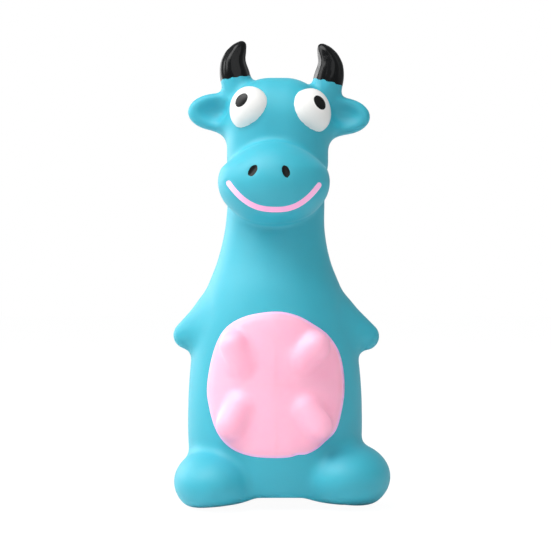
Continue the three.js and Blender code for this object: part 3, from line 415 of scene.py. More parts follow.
def from_head(item, back):
    """A point to one side of the head's middle, and backward and upward from it."""
    return np.array(HEAD_CENTRE) + (item["side"] * item["spread"], back, item["rise"])


def horn_path(horn):
    """The points of a horn's middle line and its radius at each, from root to tip."""
    root = from_head(horn, HORN_SET_BACK)
    return [
        (root + np.array([horn["side"] * out * HORN_BEND, 0, up * HORN_HEIGHT]), thick * HORN_RADIUS)
        for out, up, thick in HORN_PATH_SHARES
    ]


def horn_field(p, horn, flute):
    path = horn_path(horn)
    value = None
    for (start, start_radius), (end, end_radius) in zip(path, path[1:]):
        rod = tapered_rod(p, start, end, start_radius, end_radius)
        value = rod if value is None else blend(value, rod, HORN_FILLET / 2)
    heights = [point[2] for point, _ in path]
    middle = np.interp(p[:, 2], heights, [point[0] for point, _ in path])
    turn = np.arctan2(p[:, 1] - path[0][0][1], p[:, 0] - middle)
    groove = (0.5 - 0.5 * np.cos(HORN_FLUTES * turn + horn["side"] * HORN_FLUTE_TURN)) ** 2
    rise = smooth_step((p[:, 2] - heights[0] - HORN_FLUTE_START) / HORN_FLUTE_FADE_IN)
    return value + flute * groove * (rise * smooth_step((heights[-1] - p[:, 2]) / HORN_FLUTE_FADE_OUT))


def ear_field(p, ear):
    """A leaf with a hollow in its front."""
    side, tilt = ear["side"], ear["side"] * ear["droop"]
    centre = from_head(ear, EAR_SET_BACK)
    cup = ellipsoid(p, centre + np.array(EAR_CUP_PLACE) * (side, 1, 1), EAR_CUP_RADII, tilt)
    return blend_keep(ellipsoid(p, centre, EAR_RADII, tilt), -cup, EAR_LIP)


def arm_field(p, side, spread, height, shoulder):
    root = (side * SHOULDER_SPREAD, 0, SHOULDER_HEIGHT)
    hand = (side * spread, -ARM_SET_FORWARD, height)
    return tapered_rod(p, root, hand, shoulder, HAND_RADIUS)


def moulding(p, flute=0.0):
    """The whole latex moulding, without its eyes."""
    value = core(p)
    for arm in ARMS:
        value = add_near(value, p, arm_field, arm, ARM_FILLET, arm["side"] * ARM_MIDDLE, ARM_ROOM)
    for ear in EARS:
        below = smooth_step((HEAD_CENTRE[2] + ear["rise"] - p[:, 2]) / EAR_FILLET_RUN)
        fillet = EAR_FILLET + EAR_FILLET_BELOW * below
        value = add_near(value, p, ear_field, {"ear": ear}, fillet, ear["side"] * EAR_MIDDLE, EAR_ROOM)
    for horn in HORNS:
        sizes = {"horn": horn, "flute": flute}
        value = add_near(value, p, horn_field, sizes, HORN_FILLET, horn["side"] * HORN_MIDDLE, HORN_ROOM)
    return value


def front_of(field, x, z):
    """The depth at which a line along Y first meets a surface, seen from the front."""
    y = np.linspace(-SIGHT_REACH, 0, SIGHT_POINTS)
    line = np.stack([np.full_like(y, x), y, np.full_like(y, z)], axis=1)
    first = int(np.argmax(field(line) < 0))
    near, far = y[max(first - 1, 0)], y[first]
    for _ in range(SIGHT_HALVINGS):
        middle = (near + far) / 2
        if field(np.array([[x, middle, z]]))[0] < 0:
            far = middle
        else:
            near = middle
    return (near + far) / 2


def oval(p, x, z, halves, tilt):
    """An oval drawn on the front, tilted by degrees."""
    cos, sin = math.cos(math.radians(tilt)), math.sin(math.radians(tilt))
    dx, dz = p[:, 0] - x, p[:, 2] - z
    u, w = dx * cos + dz * sin, dz * cos - dx * sin
    reach = np.hypot(u / halves[0], w / halves[1]) + TINY
    slope = np.hypot(u / halves[0] ** 2, w / halves[1] ** 2) + TINY
    return reach * (reach - 1) / slope


def nostril_field(p, nostril):
    side = nostril["side"]
    x, z = MUZZLE_CENTRE[0] + side * nostril["spread"], MUZZLE_CENTRE[2] + nostril["rise"]
    return oval(p, x, z, NOSTRIL_HALVES, side * nostril["tilt"])


def eye_centre(eye):
    x, _, z = from_head(eye, 0)
    return np.array([x, front_of(core, x, z) + EYE_HALF_DEPTH - EYE_STAND_OFF, z])


def in_eye(p, eye, centre):
    """Places from an eye's middle: sideways and backward, as the eye is turned, and upward."""
    turn = math.radians(-eye["side"] * EYE_TURN_OUT)
    q = p - centre
    x = q[:, 0] * math.cos(turn) - q[:, 1] * math.sin(turn)
    y = q[:, 0] * math.sin(turn) + q[:, 1] * math.cos(turn)
    return np.stack([x, y, q[:, 2]], axis=1)


def eye_field(p, eye, centre):
    """An egg-shaped dome, wide end up and inward."""
    x, y, z = in_eye(p, eye, centre).T
    tilt = math.radians(eye["side"] * eye["tilt"])
    across = x * math.cos(tilt) + z * math.sin(tilt)
    along = z * math.cos(tilt) - x * math.sin(tilt)
    width = eye["half_short"] * (1 + EYE_EGG_SHARE * np.clip(along / eye["half_long"], -1, 1))
    return stretched_ball((across, y, along), (width, EYE_HALF_DEPTH, eye["half_long"]))


def smile_line():
    """The points of the smile, across and upward."""
    t = np.linspace(-1, 1, SMILE_POINTS)
    slant = t * SMILE_HALF_WIDTH * math.tan(math.radians(SMILE_TILT))
    lift = SMILE_DEPTH * np.abs(t) ** SMILE_CURVE_SHARE - slant
    return MUZZLE_CENTRE[0] + t * SMILE_HALF_WIDTH, MUZZLE_CENTRE[2] - SMILE_DROP + lift


def distance_to_line(px, pz, xs, zs):
    """The least distance in the frontal plane from points to a broken line."""
    best = np.full(px.shape, np.inf)
    for x0, z0, x1, z1 in zip(xs, zs, xs[1:], zs[1:]):
        run = (x1 - x0) ** 2 + (z1 - z0) ** 2
        t = np.clip(((px - x0) * (x1 - x0) + (pz - z0) * (z1 - z0)) / run, 0, 1)
        best = np.minimum(best, np.hypot(px - x0 - t * (x1 - x0), pz - z0 - t * (z1 - z0)))
    return best


def udder_outline():
    """A smooth closed curve through the outline's points, across and upward."""
    corners = np.array(UDDER_OUTLINE_SHARES) * np.array(UDDER_HALVES)
    count = len(corners)
    spot = np.arange(UDDER_POINTS) * count / UDDER_POINTS
    low = spot.astype(int)
    outline = through(*(corners[(low + n) % count] for n in (-1, 0, 1, 2)), (spot - low)[:, None])
    outline = np.append(outline, outline[:1], axis=0)
    return outline[:, 0], outline[:, 1] + UDDER_HEIGHT


def udder_edge(p):
    """Signed distance in the frontal plane to the udder's edge, negative within it."""
    xs, zs = udder_outline()
    value = np.full(len(p), FAR)
    near = in_front(p, UDDER_ROOM)
    if not near.any():
        return value
    px, pz = p[near, 0], p[near, 2]
    distance = distance_to_line(px, pz, xs, zs)
    inside = np.zeros(px.shape, bool)
    for x0, z0, x1, z1 in zip(xs, zs, xs[1:], zs[1:]):
        crosses = (z0 > pz) != (z1 > pz)
        inside ^= crosses & (px < x0 + (pz - z0) * (x1 - x0) / (z1 - z0 + TINY))
    value[near] = np.where(inside, -distance, distance)
    return value


def on_torso(place, sink):
    """A point of the torso's front, given as shares of the udder, sunk in by some depth."""
    x, z = place[0] * UDDER_HALVES[0], UDDER_HEIGHT + place[1] * UDDER_HALVES[1]
    return x, front_of(torso, x, z) + sink, z


TEATS = [(on_torso(root, TEAT_ROOT_SINK), on_torso(tip, TEAT_TIP_SINK)) for root, tip in TEAT_PLACE_SHARES]
EYE_CENTRES = [eye_centre(eye) for eye in EYES]


def skin_field(p):
    """Everything that shows: the moulding with its eyes, teats, nostrils and the groove of its smile."""
    value = moulding(p, HORN_FLUTE_DEPTH)
    front = in_front(p, MUZZLE_ROOM)
    if front.any():
        q = p[front]
        away = distance_to_line(q[:, 0], q[:, 2], *smile_line())
        sunk = smooth_step((SMILE_RADIUS + SMILE_GROOVE_RIM - away) / SMILE_GROOVE_SLOPE)
        value[front] += SMILE_GROOVE * sunk
        for nostril in NOSTRILS:
            rim = nostril_field(q, nostril)
            value[front] += NOSTRIL_DEPTH * smooth_step((NOSTRIL_RIM - rim) / NOSTRIL_SLOPE)
    belly = in_front(p, UDDER_ROOM)
    if belly.any():
        q = p[belly]
        raised = value[belly] - UDDER_BULGE * smooth_step(-udder_edge(q) / UDDER_BULGE_SLOPE)
        for start, end in TEATS:
            teat = tapered_rod(q, start, end, TEAT_ROOT_RADIUS, TEAT_TIP_RADIUS)
            raised = blend(raised, teat, TEAT_FILLET)
        value[belly] = raised
    near_eyes = in_front(p, EYE_ROOM)
    if near_eyes.any():
        q = p[near_eyes]
        for eye, centre in zip(EYES, EYE_CENTRES):
            value[near_eyes] = np.minimum(value[near_eyes], eye_field(q, eye, centre))
    return np.maximum(value, -p[:, 2])


def from_seat(p):
    """The distance from the squeaker's axis."""
    return np.hypot(p[:, 0], p[:, 1] - SEAT_SET_BACK)


def fibre_field(p):
    """The fibre that fills the moulding, with room for the udder to press in and for the squeaker."""
    across, back, up = FIBRE_TUFT_TURNS
    tufts = FIBRE_TUFT * np.sin(p[:, 0] * across) * np.sin(p[:, 1] * back + 1) * np.sin(p[:, 2] * up)
    value = core(p) + LATEX_WALL + FIBRE_GAP + tufts
    value = np.maximum(value, LATEX_WALL + FIBRE_GAP - p[:, 2])
    pocket = np.maximum(udder_edge(p) - FIBRE_POCKET_RIM, p[:, 1] - FIBRE_POCKET_DEPTH)
    well = np.maximum(from_seat(p) - FIBRE_WELL_RADIUS, p[:, 2] - FIBRE_WELL_TOP)
    return np.maximum(np.maximum(value, -pocket), -well)


# ---- Edges of the colours on the skin, negative within

def horn_edge(p, horn):
    """The slanting, slightly wavy line round a horn at which its coat begins."""
    root = horn_path(horn)[0][0]
    lean = math.radians(horn["side"] * horn["slope"])
    normal = np.array([math.sin(lean), 0, math.cos(lean)])
    start = np.array([root[0], root[1], HEAD_CENTRE[2] + horn["edge"]])
    wave = sum(
        height * np.sin(p[:, 0] * across + p[:, 1] * back + horn["side"] * shift)
        for height, across, back, shift in HORN_EDGE_WAVES
    )
    above = (p - start) @ normal + wave
    return np.maximum(-above, np.abs(p[:, 0] - start[0]) - HORN_EDGE_REACH)


def eye_edge(p, eye, centre):
    return eye_field(p, eye, centre) - moulding(p)


def pupil_edge(p, eye, pupil, centre):
    side = pupil["side"]
    q = in_eye(p, eye, centre)
    return oval(q, side * pupil["out"], pupil["up"], PUPIL_HALVES, side * pupil["tilt"])


def nostril_edge(p, nostril):
    return np.where(in_front(p, MUZZLE_ROOM), nostril_field(p, nostril), FAR)


def smile_edge(p):
    near = in_front(p, MUZZLE_ROOM)
    value = np.full(len(p), FAR)
    value[near] = distance_to_line(p[near, 0], p[near, 2], *smile_line()) - SMILE_RADIUS
    return value


def seat_edge(p):
    return np.where(p[:, 2] < SEAT_ROOM_TOP, from_seat(p) - SEAT_BORE_RADIUS, FAR)


# ---- Drawing a field as a mesh

CORNERS = np.array([(i, j, k) for k in (0, 1) for j in (0, 1) for i in (0, 1)])
EDGES = [(a, b) for a in range(8) for b in range(a + 1, 8) if np.abs(CORNERS[a] - CORNERS[b]).sum() == 1]


def slope_of(field, p):
    """A field's values at points and its slopes there."""
    here = field(p)
    ahead = [field(p + axis * SLOPE_STEP) for axis in np.eye(3)]
    return here, np.stack([(value - here) / SLOPE_STEP for value in ahead], axis=1)


def settle(field, p):
    """Move points onto the surface of a field."""
    here, slope = slope_of(field, p)
    return p - slope * (here / np.maximum((slope ** 2).sum(axis=1), LEAST_SLOPE))[:, None]


def surface_net(field, cell):
    """A point in each cell that a field's surface crosses, and the squares that join these points."""
    lines = [np.arange(a, b + cell, cell) for a, b in zip(DRAW_LOW, DRAW_HIGH)]
    counts = [len(line) for line in lines]
    values = np.empty(counts)
    gx, gy = np.meshgrid(lines[0], lines[1], indexing="ij")
    for k, z in enumerate(lines[2]):
        sheet = np.stack([gx.ravel(), gy.ravel(), np.full(gx.size, z)], axis=1)
        values[:, :, k] = field(sheet).reshape(gx.shape)
    inside = values < 0
    nx, ny, nz = (count - 1 for count in counts)
    held = sum(inside[i:nx + i, j:ny + j, k:nz + k].astype(np.int8) for i, j, k in CORNERS)
    crossed = (held > 0) & (held < 8)
    cells = np.argwhere(crossed)
    number = np.full(crossed.shape, -1)
    number[crossed] = np.arange(len(cells))
    at_corner = [values[tuple((cells + corner).T)] for corner in CORNERS]
    total, hits = np.zeros((len(cells), 3)), np.zeros(len(cells))
    for a, b in EDGES:
        cross = (at_corner[a] < 0) != (at_corner[b] < 0)
        t = np.where(cross, at_corner[a] / np.where(cross, at_corner[a] - at_corner[b], 1), 0)
        spot = CORNERS[a] + t[:, None] * (CORNERS[b] - CORNERS[a])
        total += spot * cross[:, None]
        hits += cross
    points = np.array(DRAW_LOW) + cell * (cells + total / hits[:, None])
    quads = []
    unit = np.eye(3, dtype=int)
    for axis in range(3):
        b, c = unit[(axis + 1) % 3], unit[(axis + 2) % 3]
        spots = np.argwhere(inside != np.roll(inside, -1, axis=axis))
        spots = spots[np.all((spots - b - c >= 0) & (spots < crossed.shape), axis=1)]
        ring = np.stack([number[tuple(s.T)] for s in (spots, spots - b, spots - b - c, spots - c)], axis=1)
        outward = inside[tuple(spots.T)]
        quads.append(np.where(outward[:, None], ring, ring[:, ::-1]))
    return points, np.concatenate(quads)


def even_out(field, points, quads):
    """Move each point part of the way to the middle of its neighbours, and back onto the surface."""
    total, hits = np.zeros_like(points), np.zeros(len(points))
    for n in range(4):
        for m in (1, 3):
            beside = points[quads[:, (n + m) % 4]]
            for axis in range(3):
                total[:, axis] += np.bincount(quads[:, n], beside[:, axis], len(points))
            hits += np.bincount(quads[:, n], minlength=len(points))
    return settle(field, points + (total / hits[:, None] - points) * EVEN_SHARE)


def draw(field, cell, turns=4):
    """Draw the surface of a field and even it out by some turns. Returns points and triangles."""
    points, quads = surface_net(field, cell)
    for _ in range(turns):
        points = even_out(field, points, quads)
    corners = points[quads]
    across = np.linalg.norm(corners[:, [0, 1]] - corners[:, [2, 3]], axis=2)
    straight = across[:, :1] < across[:, 1:]
    first = np.where(straight, quads[:, [0, 1, 2]], quads[:, [1, 2, 3]])
    second = np.where(straight, quads[:, [0, 2, 3]], quads[:, [1, 3, 0]])
    return points, np.concatenate([first, second])


def split(points, triangles, edge, field, cell):
    """Cut a mesh along the line where an edge function is zero.

    Returns points, and the triangles within and beyond the line."""
    score = edge(points)
    near = np.abs(score) < cell * NEAR_LINE_SHARE
    near &= np.isin(np.arange(len(points)), triangles)
    if near.any():
        spots = points[near]
        _, across = slope_of(edge, spots)
        _, normal = slope_of(field, spots)
        normal /= np.linalg.norm(normal, axis=1)[:, None] + TINY
        across -= normal * (across * normal).sum(axis=1)[:, None]
        size = (across ** 2).sum(axis=1)
        good = size > LEAST_EDGE_SLOPE
        spots[good] -= across[good] * (score[near][good] / size[good])[:, None]
        points = points.copy()
        points[near] = settle(field, spots)
        score[np.flatnonzero(near)[good]] = 0.0
    sign = np.sign(score)[triangles]
    within = triangles[(sign <= 0).all(axis=1)]
    beyond = triangles[(sign >= 0).all(axis=1) & ~(sign <= 0).all(axis=1)]
    cut = (sign < 0).any(axis=1) & (sign > 0).any(axis=1)
    made, made_points, new_within, new_beyond = {}, [], [], []

    def crossing(a, b):
        key = (min(a, b), max(a, b))
        if key not in made:
            t = score[key[0]] / (score[key[0]] - score[key[1]])
            made[key] = len(points) + len(made_points)
            made_points.append(points[key[0]] * (1 - t) + points[key[1]] * t)
        return made[key]

    for corner, signs in zip(triangles[cut].tolist(), sign[cut].tolist()):
        # Start from the corner that is on the line, or else from the one that is alone on its side
        n = signs.index(-sum(signs))
        a, b, c = corner[n:] + corner[:n]
        at_a, at_b, at_c = (new_within if value < 0 else new_beyond for value in signs[n:] + signs[:n])
        if signs[n] == 0:
            middle = crossing(b, c)
            at_b.append((a, b, middle))
            at_c.append((a, middle, c))
        else:
            ab, ac = crossing(a, b), crossing(a, c)
            at_a.append((a, ab, ac))
            at_b.extend([(ab, b, c), (ab, c, ac)])
    if made_points:
        points = np.concatenate([points, settle(field, np.array(made_points))])
    within, beyond = (
        np.concatenate([part, np.array(added, int).reshape(-1, 3)])
        for part, added in ((within, new_within), (beyond, new_beyond))
    )
    return points, within, beyond


def rim_of(triangles, points, keep):
    """The directed edges of a mesh's open border, where keep(points) holds."""
    pairs = np.concatenate([triangles[:, [0, 1]], triangles[:, [1, 2]], triangles[:, [2, 0]]])
    size = triangles.max() + 1
    rim = pairs[~np.isin(pairs @ [size, 1], pairs @ [1, size])]
    wanted = keep(points)
    return rim[wanted[rim[:, 0]] & wanted[rim[:, 1]]]


def add_wall(points, triangles, rim, offset):
    """Carry an open border inward, so that the sheet shows its thickness there."""
    ends = np.unique(rim)
    place = {int(n): len(points) + i for i, n in enumerate(ends)}
    points = np.concatenate([points, points[ends] + np.array(offset)])
    wall = []
    for a, b in rim.tolist():
        wall.extend([(b, a, place[a]), (b, place[a], place[b])])
    return points, np.concatenate([triangles, np.array(wall)])


def add_to_scene(name, data, place=(0, 0, 0)):
    added = bpy.data.objects.new(name, data)
    added.location = place
    bpy.context.scene.collection.objects.link(added)
    return added


def make_piece(name, points, triangles, body, material, nodes, seam=()):
    """Make an object from points in millimetres, in the frame's place, riding on a body.

    Given two bodies with a start and an end, it is only set in place and rides on no body. At the points
    of a seam its shading follows the slope of the toy, so that neighbours look like one sheet."""
    used, inverse = np.unique(triangles, return_inverse=True)
    faces = inverse.reshape(-1, 3)
    whole = (faces != np.roll(faces, 1, axis=1)).all(axis=1)
    mesh = bpy.data.meshes.new(name)
    mesh.from_pydata((points[used] * MM + np.array(SHIFT)).tolist(), [], faces[whole].tolist())
    mesh.validate()
    mesh.materials.append(material)
    mesh.shade_smooth()
    mesh.set_sharp_from_angle(angle=math.radians(SHARP_ANGLE))
    if len(seam):
        at_seam = np.isin(used, seam)
        normals = np.zeros((len(used), 3))
        normals[at_seam] = slope_of(skin_field, points[used[at_seam]])[1]
        normals /= np.maximum(np.linalg.norm(normals, axis=1), TINY)[:, None]
        mesh.normals_split_custom_set_from_vertices(normals.tolist())
    piece = add_to_scene(name, mesh)
    if isinstance(body, str):
        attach(piece, body)
    else:
        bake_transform(piece)
    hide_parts(*nodes)
    return piece


drawn = {}


def draw_toy(cell):
    """Draw the whole outer surface once and cut it along the edges of its colours."""
    points, skin = draw(skin_field, cell)
    regions = {}

    def cut(sheet, edge, *values):
        nonlocal points
        points, *parts = split(points, sheet, lambda p: edge(p, *values), skin_field, cell)
        return parts

    udder, skin = cut(skin, udder_edge)
    for side, half in zip(("left", "right"), cut(udder, lambda p: p[:, 0])):
        lower, upper = cut(half, lambda p: p[:, 2] - UDDER_HEIGHT)
        regions["udder_lower_" + side], regions["udder_upper_" + side] = lower, upper
    for horn in HORNS:
        regions[horn["name"] + "_horn"], skin = cut(skin, horn_edge, horn)
    for eye, pupil, centre in zip(EYES, PUPILS, EYE_CENTRES):
        whole, skin = cut(skin, eye_edge, eye, centre)
        black, white = cut(whole, pupil_edge, eye, pupil, centre)
        regions[eye["name"] + "_pupil"], regions[eye["name"] + "_eye"] = black, white
    for nostril in NOSTRILS:
        regions[nostril["name"] + "_nostril"], skin = cut(skin, nostril_edge, nostril)
    regions["smile"], skin = cut(skin, smile_edge)
    _, regions["skin"] = cut(skin, seat_edge)
    drawn["points"], drawn["regions"] = points, regions


def make_coat(name, region, material, node_name):
    """Make a piece on the toy's own body from one region of the drawn surface."""
    make_piece(name, drawn["points"], drawn["regions"][region], "toy", material, [node_name])


# ---- Materials

MIX_SHARE, MIX_FIRST, MIX_SECOND, MIX_COLOUR = 0, 6, 7, 2
LATEX_GRAIN = 0.2


def new_material(name):
    material = bpy.data.materials.new(name)
    material.use_nodes = True
    return material, material.node_tree, material.node_tree.nodes["Principled BSDF"]


def fill_in(tree, made, inputs):
    """Set a node's sockets; one that is given another node's output is linked to it."""
    for key, value in inputs.items():
        if isinstance(value, bpy.types.NodeSocket):
            tree.links.new(value, made.inputs[key])
        else:
            made.inputs[key].default_value = value


def node(tree, kind, inputs=None, **settings):
    made = tree.nodes.new(kind)
    for key, value in settings.items():
        setattr(made, key, value)
    fill_in(tree, made, inputs or {})
    return made


def noise(tree, stretch=None, **inputs):
    """Noise that stays with the object, drawn out along its axes where a stretch is given."""
    place = node(tree, "ShaderNodeTexCoord").outputs["Object"]
    if stretch:
        place = node(tree, "ShaderNodeMapping", {"Vector": place, "Scale": stretch}).outputs["Vector"]
    return node(tree, "ShaderNodeTexNoise", {"Vector": place, **inputs}).outputs["Fac"]


def ranged(tree, value, low, high, start=0.0, end=1.0):
    """Carry a value that runs from start to end over to one that runs from low to high."""
    limits = {"From Min": start, "From Max": end, "To Min": low, "To Max": high}
    return node(tree, "ShaderNodeMapRange", {"Value": value, **limits}).outputs["Result"]


def mixed(tree, share, first, second):
    """A colour between two, each given as a colour or as another node's output."""
    inputs = {MIX_SHARE: share}
    for key, colour in ((MIX_FIRST, first), (MIX_SECOND, second)):
        inputs[key] = colour if isinstance(colour, bpy.types.NodeSocket) else (*colour, 1)
    return node(tree, "ShaderNodeMix", inputs, data_type="RGBA").outputs[MIX_COLOUR]


def bumped(tree, height, strength, distance, **inputs):
    """The slope of a bumpy surface, with the height of its bumps in metres."""
    values = {"Height": height, "Strength": strength, "Distance": distance, **inputs}
    return node(tree, "ShaderNodeBump", values).outputs["Normal"]


def calculated(tree, operation, *values):
    return node(tree, "ShaderNodeMath", dict(enumerate(values)), operation=operation).outputs["Value"]


def darker(colour, share):
    return [part * share for part in colour]


def latex_material(name, colour, deep, roughness, shine, glow, inner):
    """Soft latex: light sinks in a little, the colour drifts slightly and the skin has a fine matt grain. The
    colour inner is given off as a painted glow, no lamp, that lifts the shade.
    """
    material, tree, shader = new_material(name)
    drift = ranged(tree, noise(tree, Scale=26.0, Detail=3.0, Roughness=0.5), 0.35, 1.0, start=0.3, end=0.6)
    polish = noise(tree, Scale=60.0, Detail=4.0)
    broad = bumped(tree, noise(tree, Scale=90.0, Detail=2.0), LATEX_GRAIN, 0.0006)
    fill_in(tree, shader, {
        "Base Color": mixed(tree, drift, deep, colour),
        "Roughness": ranged(tree, polish, roughness - 0.05, roughness + 0.07),
        "Normal": bumped(tree, noise(tree, Scale=1400.0, Detail=2.0), LATEX_GRAIN, 0.0001, Normal=broad),
        "Specular IOR Level": shine,
        "Sheen Weight": 0.12,
        "Sheen Roughness": 0.3,
        "Subsurface Weight": glow,
        "Subsurface Radius": deep,
        "Subsurface Scale": 0.0025,
        # Painted glow: the latex gives off the inner colour as light of its own, which brightens its shaded
        # side
        "Emission Color": (*inner, 1),
        "Emission Strength": 1.0,
        "IOR": 1.5,
    })
    return material


def coat_material(name, colour, worn, roughness, gloss, streak=1.0, ripple=0.25, shine=0.5):
    """A brushed coat: uneven gloss from the brush and thin spots where the colour is worn."""
    material, tree, shader = new_material(name)
    brush = noise(tree, stretch=(1.0, 1.0, streak), Scale=420.0, Detail=4.0, Roughness=0.6)
    fill_in(tree, shader, {
        "Base Color": mixed(tree, ranged(tree, brush, 0.0, 0.6, start=0.55, end=0.8), colour, worn),
        "Roughness": ranged(tree, brush, roughness - 0.08, roughness + 0.1),
        "Normal": bumped(tree, brush, ripple, 0.0002),
        "Specular IOR Level": shine,
        "Coat Weight": gloss,
        "Coat Roughness": 0.12,
    })
    return material


def tint_over(material, share, tint):
    """Lay a tint over a material's colour, by a share."""
    tree = material.node_tree
    shader = tree.nodes["Principled BSDF"]
    colour = shader.inputs["Base Color"].links[0].from_socket
    fill_in(tree, shader, {"Base Color": mixed(tree, share, colour, tint)})


def painted_rim_highlight(material, lilac, width):
    """Tint a patch towards its edge with a pale lilac painted highlight, a light line round the edge.

    The points of the mesh carry their distance to the edge, in millimetres, as the attribute rim."""
    tree = material.node_tree
    inward = node(tree, "ShaderNodeAttribute", attribute_name="rim").outputs["Fac"]
    tint_over(material, ranged(tree, inward, 1.0, 0.0, end=width), lilac)


def pale_ends(material, pale, inner):
    """Let the smile get paler towards both ends, and give it a painted glow, no lamp, that keeps its shaded
    side pink.
    """
    tree = material.node_tree
    place = node(tree, "ShaderNodeTexCoord").outputs["Object"]
    x = node(tree, "ShaderNodeSeparateXYZ", {"Vector": place}).outputs["X"]
    size = calculated(tree, "ABSOLUTE", calculated(tree, "SUBTRACT", x, MUZZLE_CENTRE[0] * MM))
    start, end = SMILE_PALE_FROM_SHARE * SMILE_HALF_WIDTH * MM, SMILE_HALF_WIDTH * MM
    tint_over(material, ranged(tree, size, 0.0, 1.0, start=start, end=end), pale)
    # Painted glow: the smile gives off a little pink light of its own, so its shaded side stays pink
    lit = {"Emission Color": (*inner, 1), "Emission Strength": 1.0}
    fill_in(tree, tree.nodes["Principled BSDF"], lit)


def plastic_material(name, colour, roughness):
    """Moulded plastic with a fine spark-eroded grain."""
    material, tree, shader = new_material(name)
    grain = noise(tree, Scale=900.0, Detail=3.0)
    fill_in(tree, shader, {
        "Base Color": mixed(tree, grain, colour, darker(colour, 0.9)),
        "Normal": bumped(tree, grain, 0.2, 0.0001),
        "Roughness": roughness,
    })
    return material


def brass_material(name, colour):
    """Rolled brass strip with fine lines along its length."""
    material, tree, shader = new_material(name)
    lines = noise(tree, stretch=(1.0, 0.05, 1.0), Scale=2500.0, Detail=2.0)
    fill_in(tree, shader, {
        "Base Color": mixed(tree, lines, colour, darker(colour, 0.8)),
        "Roughness": ranged(tree, lines, 0.22, 0.42),
        "Metallic": 1.0,
    })
    return material


def fluff_material(name, colour):
    """Loose polyester fibre."""
    material, tree, shader = new_material(name)
    tufts = noise(tree, Scale=220.0, Detail=6.0, Roughness=0.7, Distortion=1.2)
    fill_in(tree, shader, {
        "Base Color": mixed(tree, tufts, darker(colour, 0.82), colour),
        "Normal": bumped(tree, tufts, 0.9, 0.002),
        "Roughness": 0.95,
        "Sheen Weight": 0.4,
    })
    return material


# ---- Stage

def camera_mix(tree, lit, shown, share=1):
    """A shader that lights and shades, with another laid over it by a share for the camera alone."""
    seen = node(tree, "ShaderNodeLightPath").outputs["Is Camera Ray"]
    if share < 1:
        seen = calculated(tree, "MULTIPLY", seen, share)
    return node(tree, "ShaderNodeMixShader", {0: seen, 1: lit, 2: shown}).outputs["Shader"]


def add_camera(values):
    lens = bpy.data.cameras.new("Camera")
    lens.sensor_width = SENSOR_WIDTH
    lens.lens = SENSOR_WIDTH * values.distance / values.field
    place = (SHIFT[0] - CAMERA_ASIDE, SHIFT[1] - values.distance, values.height)
    camera = add_to_scene("Camera", lens, place)
    camera.rotation_euler = (math.pi / 2, 0, 0)
    bpy.context.scene.camera = camera


def add_lamps(values):
    middle = Vector((SHIFT[0], SHIFT[1], LAMP_AIM_HEIGHT))
    for name, place in LAMPS.items():
        light = bpy.data.lights.new(name, "AREA")
        light.shape = "DISK"
        light.size = LAMP_SIZE
        light.energy = getattr(values, name.lower())
        lamp = add_to_scene(name, light, middle + Vector(place))
        lamp.rotation_euler = (-Vector(place)).to_track_quat("-Z", "Y").to_euler()


def add_floor():
    """A pale floor that the camera sees as nearly white, with the toy's soft shadow."""
    mesh = bpy.data.meshes.new("Floor")
    corners = [(x * FLOOR_REACH, y * FLOOR_REACH, 0) for x, y in ((-1, -1), (1, -1), (1, 1), (-1, 1))]
    mesh.from_pydata(corners, [], [(0, 1, 2, 3)])
    floor = add_to_scene("Floor", mesh, (SHIFT[0], SHIFT[1], -FLOOR_DROP))
    material, tree, shader = new_material("Pale floor")
    fill_in(tree, shader, {"Base Color": (0.82, 0.82, 0.82, 1), "Roughness": 0.9})
    glow = node(tree, "ShaderNodeEmission", {"Color": WHITE, "Strength": FLOOR_GLOW}).outputs["Emission"]
    surface = camera_mix(tree, shader.outputs["BSDF"], glow, FLOOR_GLOW_SHARE)
    fill_in(tree, tree.nodes["Material Output"], {"Surface": surface})
    mesh.materials.append(material)


def light_room(values):
    """Even light from all round, with plain white shown to the camera."""
    scene = bpy.context.scene
    scene.world = scene.world or bpy.data.worlds.new("Room")
    scene.world.use_nodes = True
    tree = scene.world.node_tree
    tree.nodes.clear()
    even, white = (
        node(tree, "ShaderNodeBackground", {"Color": colour, "Strength": strength}).outputs["Background"]
        for colour, strength in (((0.97, 0.99, 1, 1), values.room), (WHITE, 1.0))
    )
    node(tree, "ShaderNodeOutputWorld", {"Surface": camera_mix(tree, even, white)})


# ---- Settings that a user would change

def colour_property(name, description, default):
    return bpy.props.FloatVectorProperty(
        name=name, description=description, subtype="COLOR", size=3, min=0, max=1, default=default
    )


def length_property(name, description, default, **limits):
    return bpy.props.FloatProperty(
        name=name, description=description, subtype="DISTANCE", unit="LENGTH", default=default, **limits
    )


def power_property(name, description, default):
    return bpy.props.FloatProperty(
        name=name, description=description, subtype="POWER", unit="POWER", default=default
    )


class CowToySkin(bpy.types.PropertyGroup):
    """Latex skin and udder."""

    cell: length_property(
        "Mesh cell", "Size of the cells on which the skin is drawn", 0.0011, min=0.0005, max=0.004
    )
    blue: colour_property("Blue", "Colour of the latex skin", (0.03, 0.418, 0.535))
    deep_blue: colour_property("Deep blue", "Colour of the skin where it is denser", (0.024, 0.398, 0.515))
    pink: colour_property("Pink", "Colour of the udder", (0.94, 0.503, 0.635))
    deep_pink: colour_property("Deep pink", "Colour of the udder where it is denser", (0.93, 0.473, 0.61))
    wall: length_property("Wall", "Thickness that the udder shows at its edge", 0.0024)


class CowToyCoats(bpy.types.PropertyGroup):
    """Coats on horns, eyes, nostrils and smile."""

    horn: colour_property("Horn", "Colour of the horn coat", (0.003, 0.0034, 0.0038))
    eye: colour_property("Eye", "Colour of the eye white", (0.82, 0.81, 0.79))
    pupil: colour_property("Pupil", "Colour of the pupils and nostrils", (0.003, 0.003, 0.003))
    smile: colour_property("Smile", "Colour of the smile", (0.96, 0.48, 0.72))
    gloss: bpy.props.FloatProperty(
        name="Gloss", description="Strength of the clear gloss on the horns", subtype="FACTOR",
        default=0.05, min=0, max=1,
    )


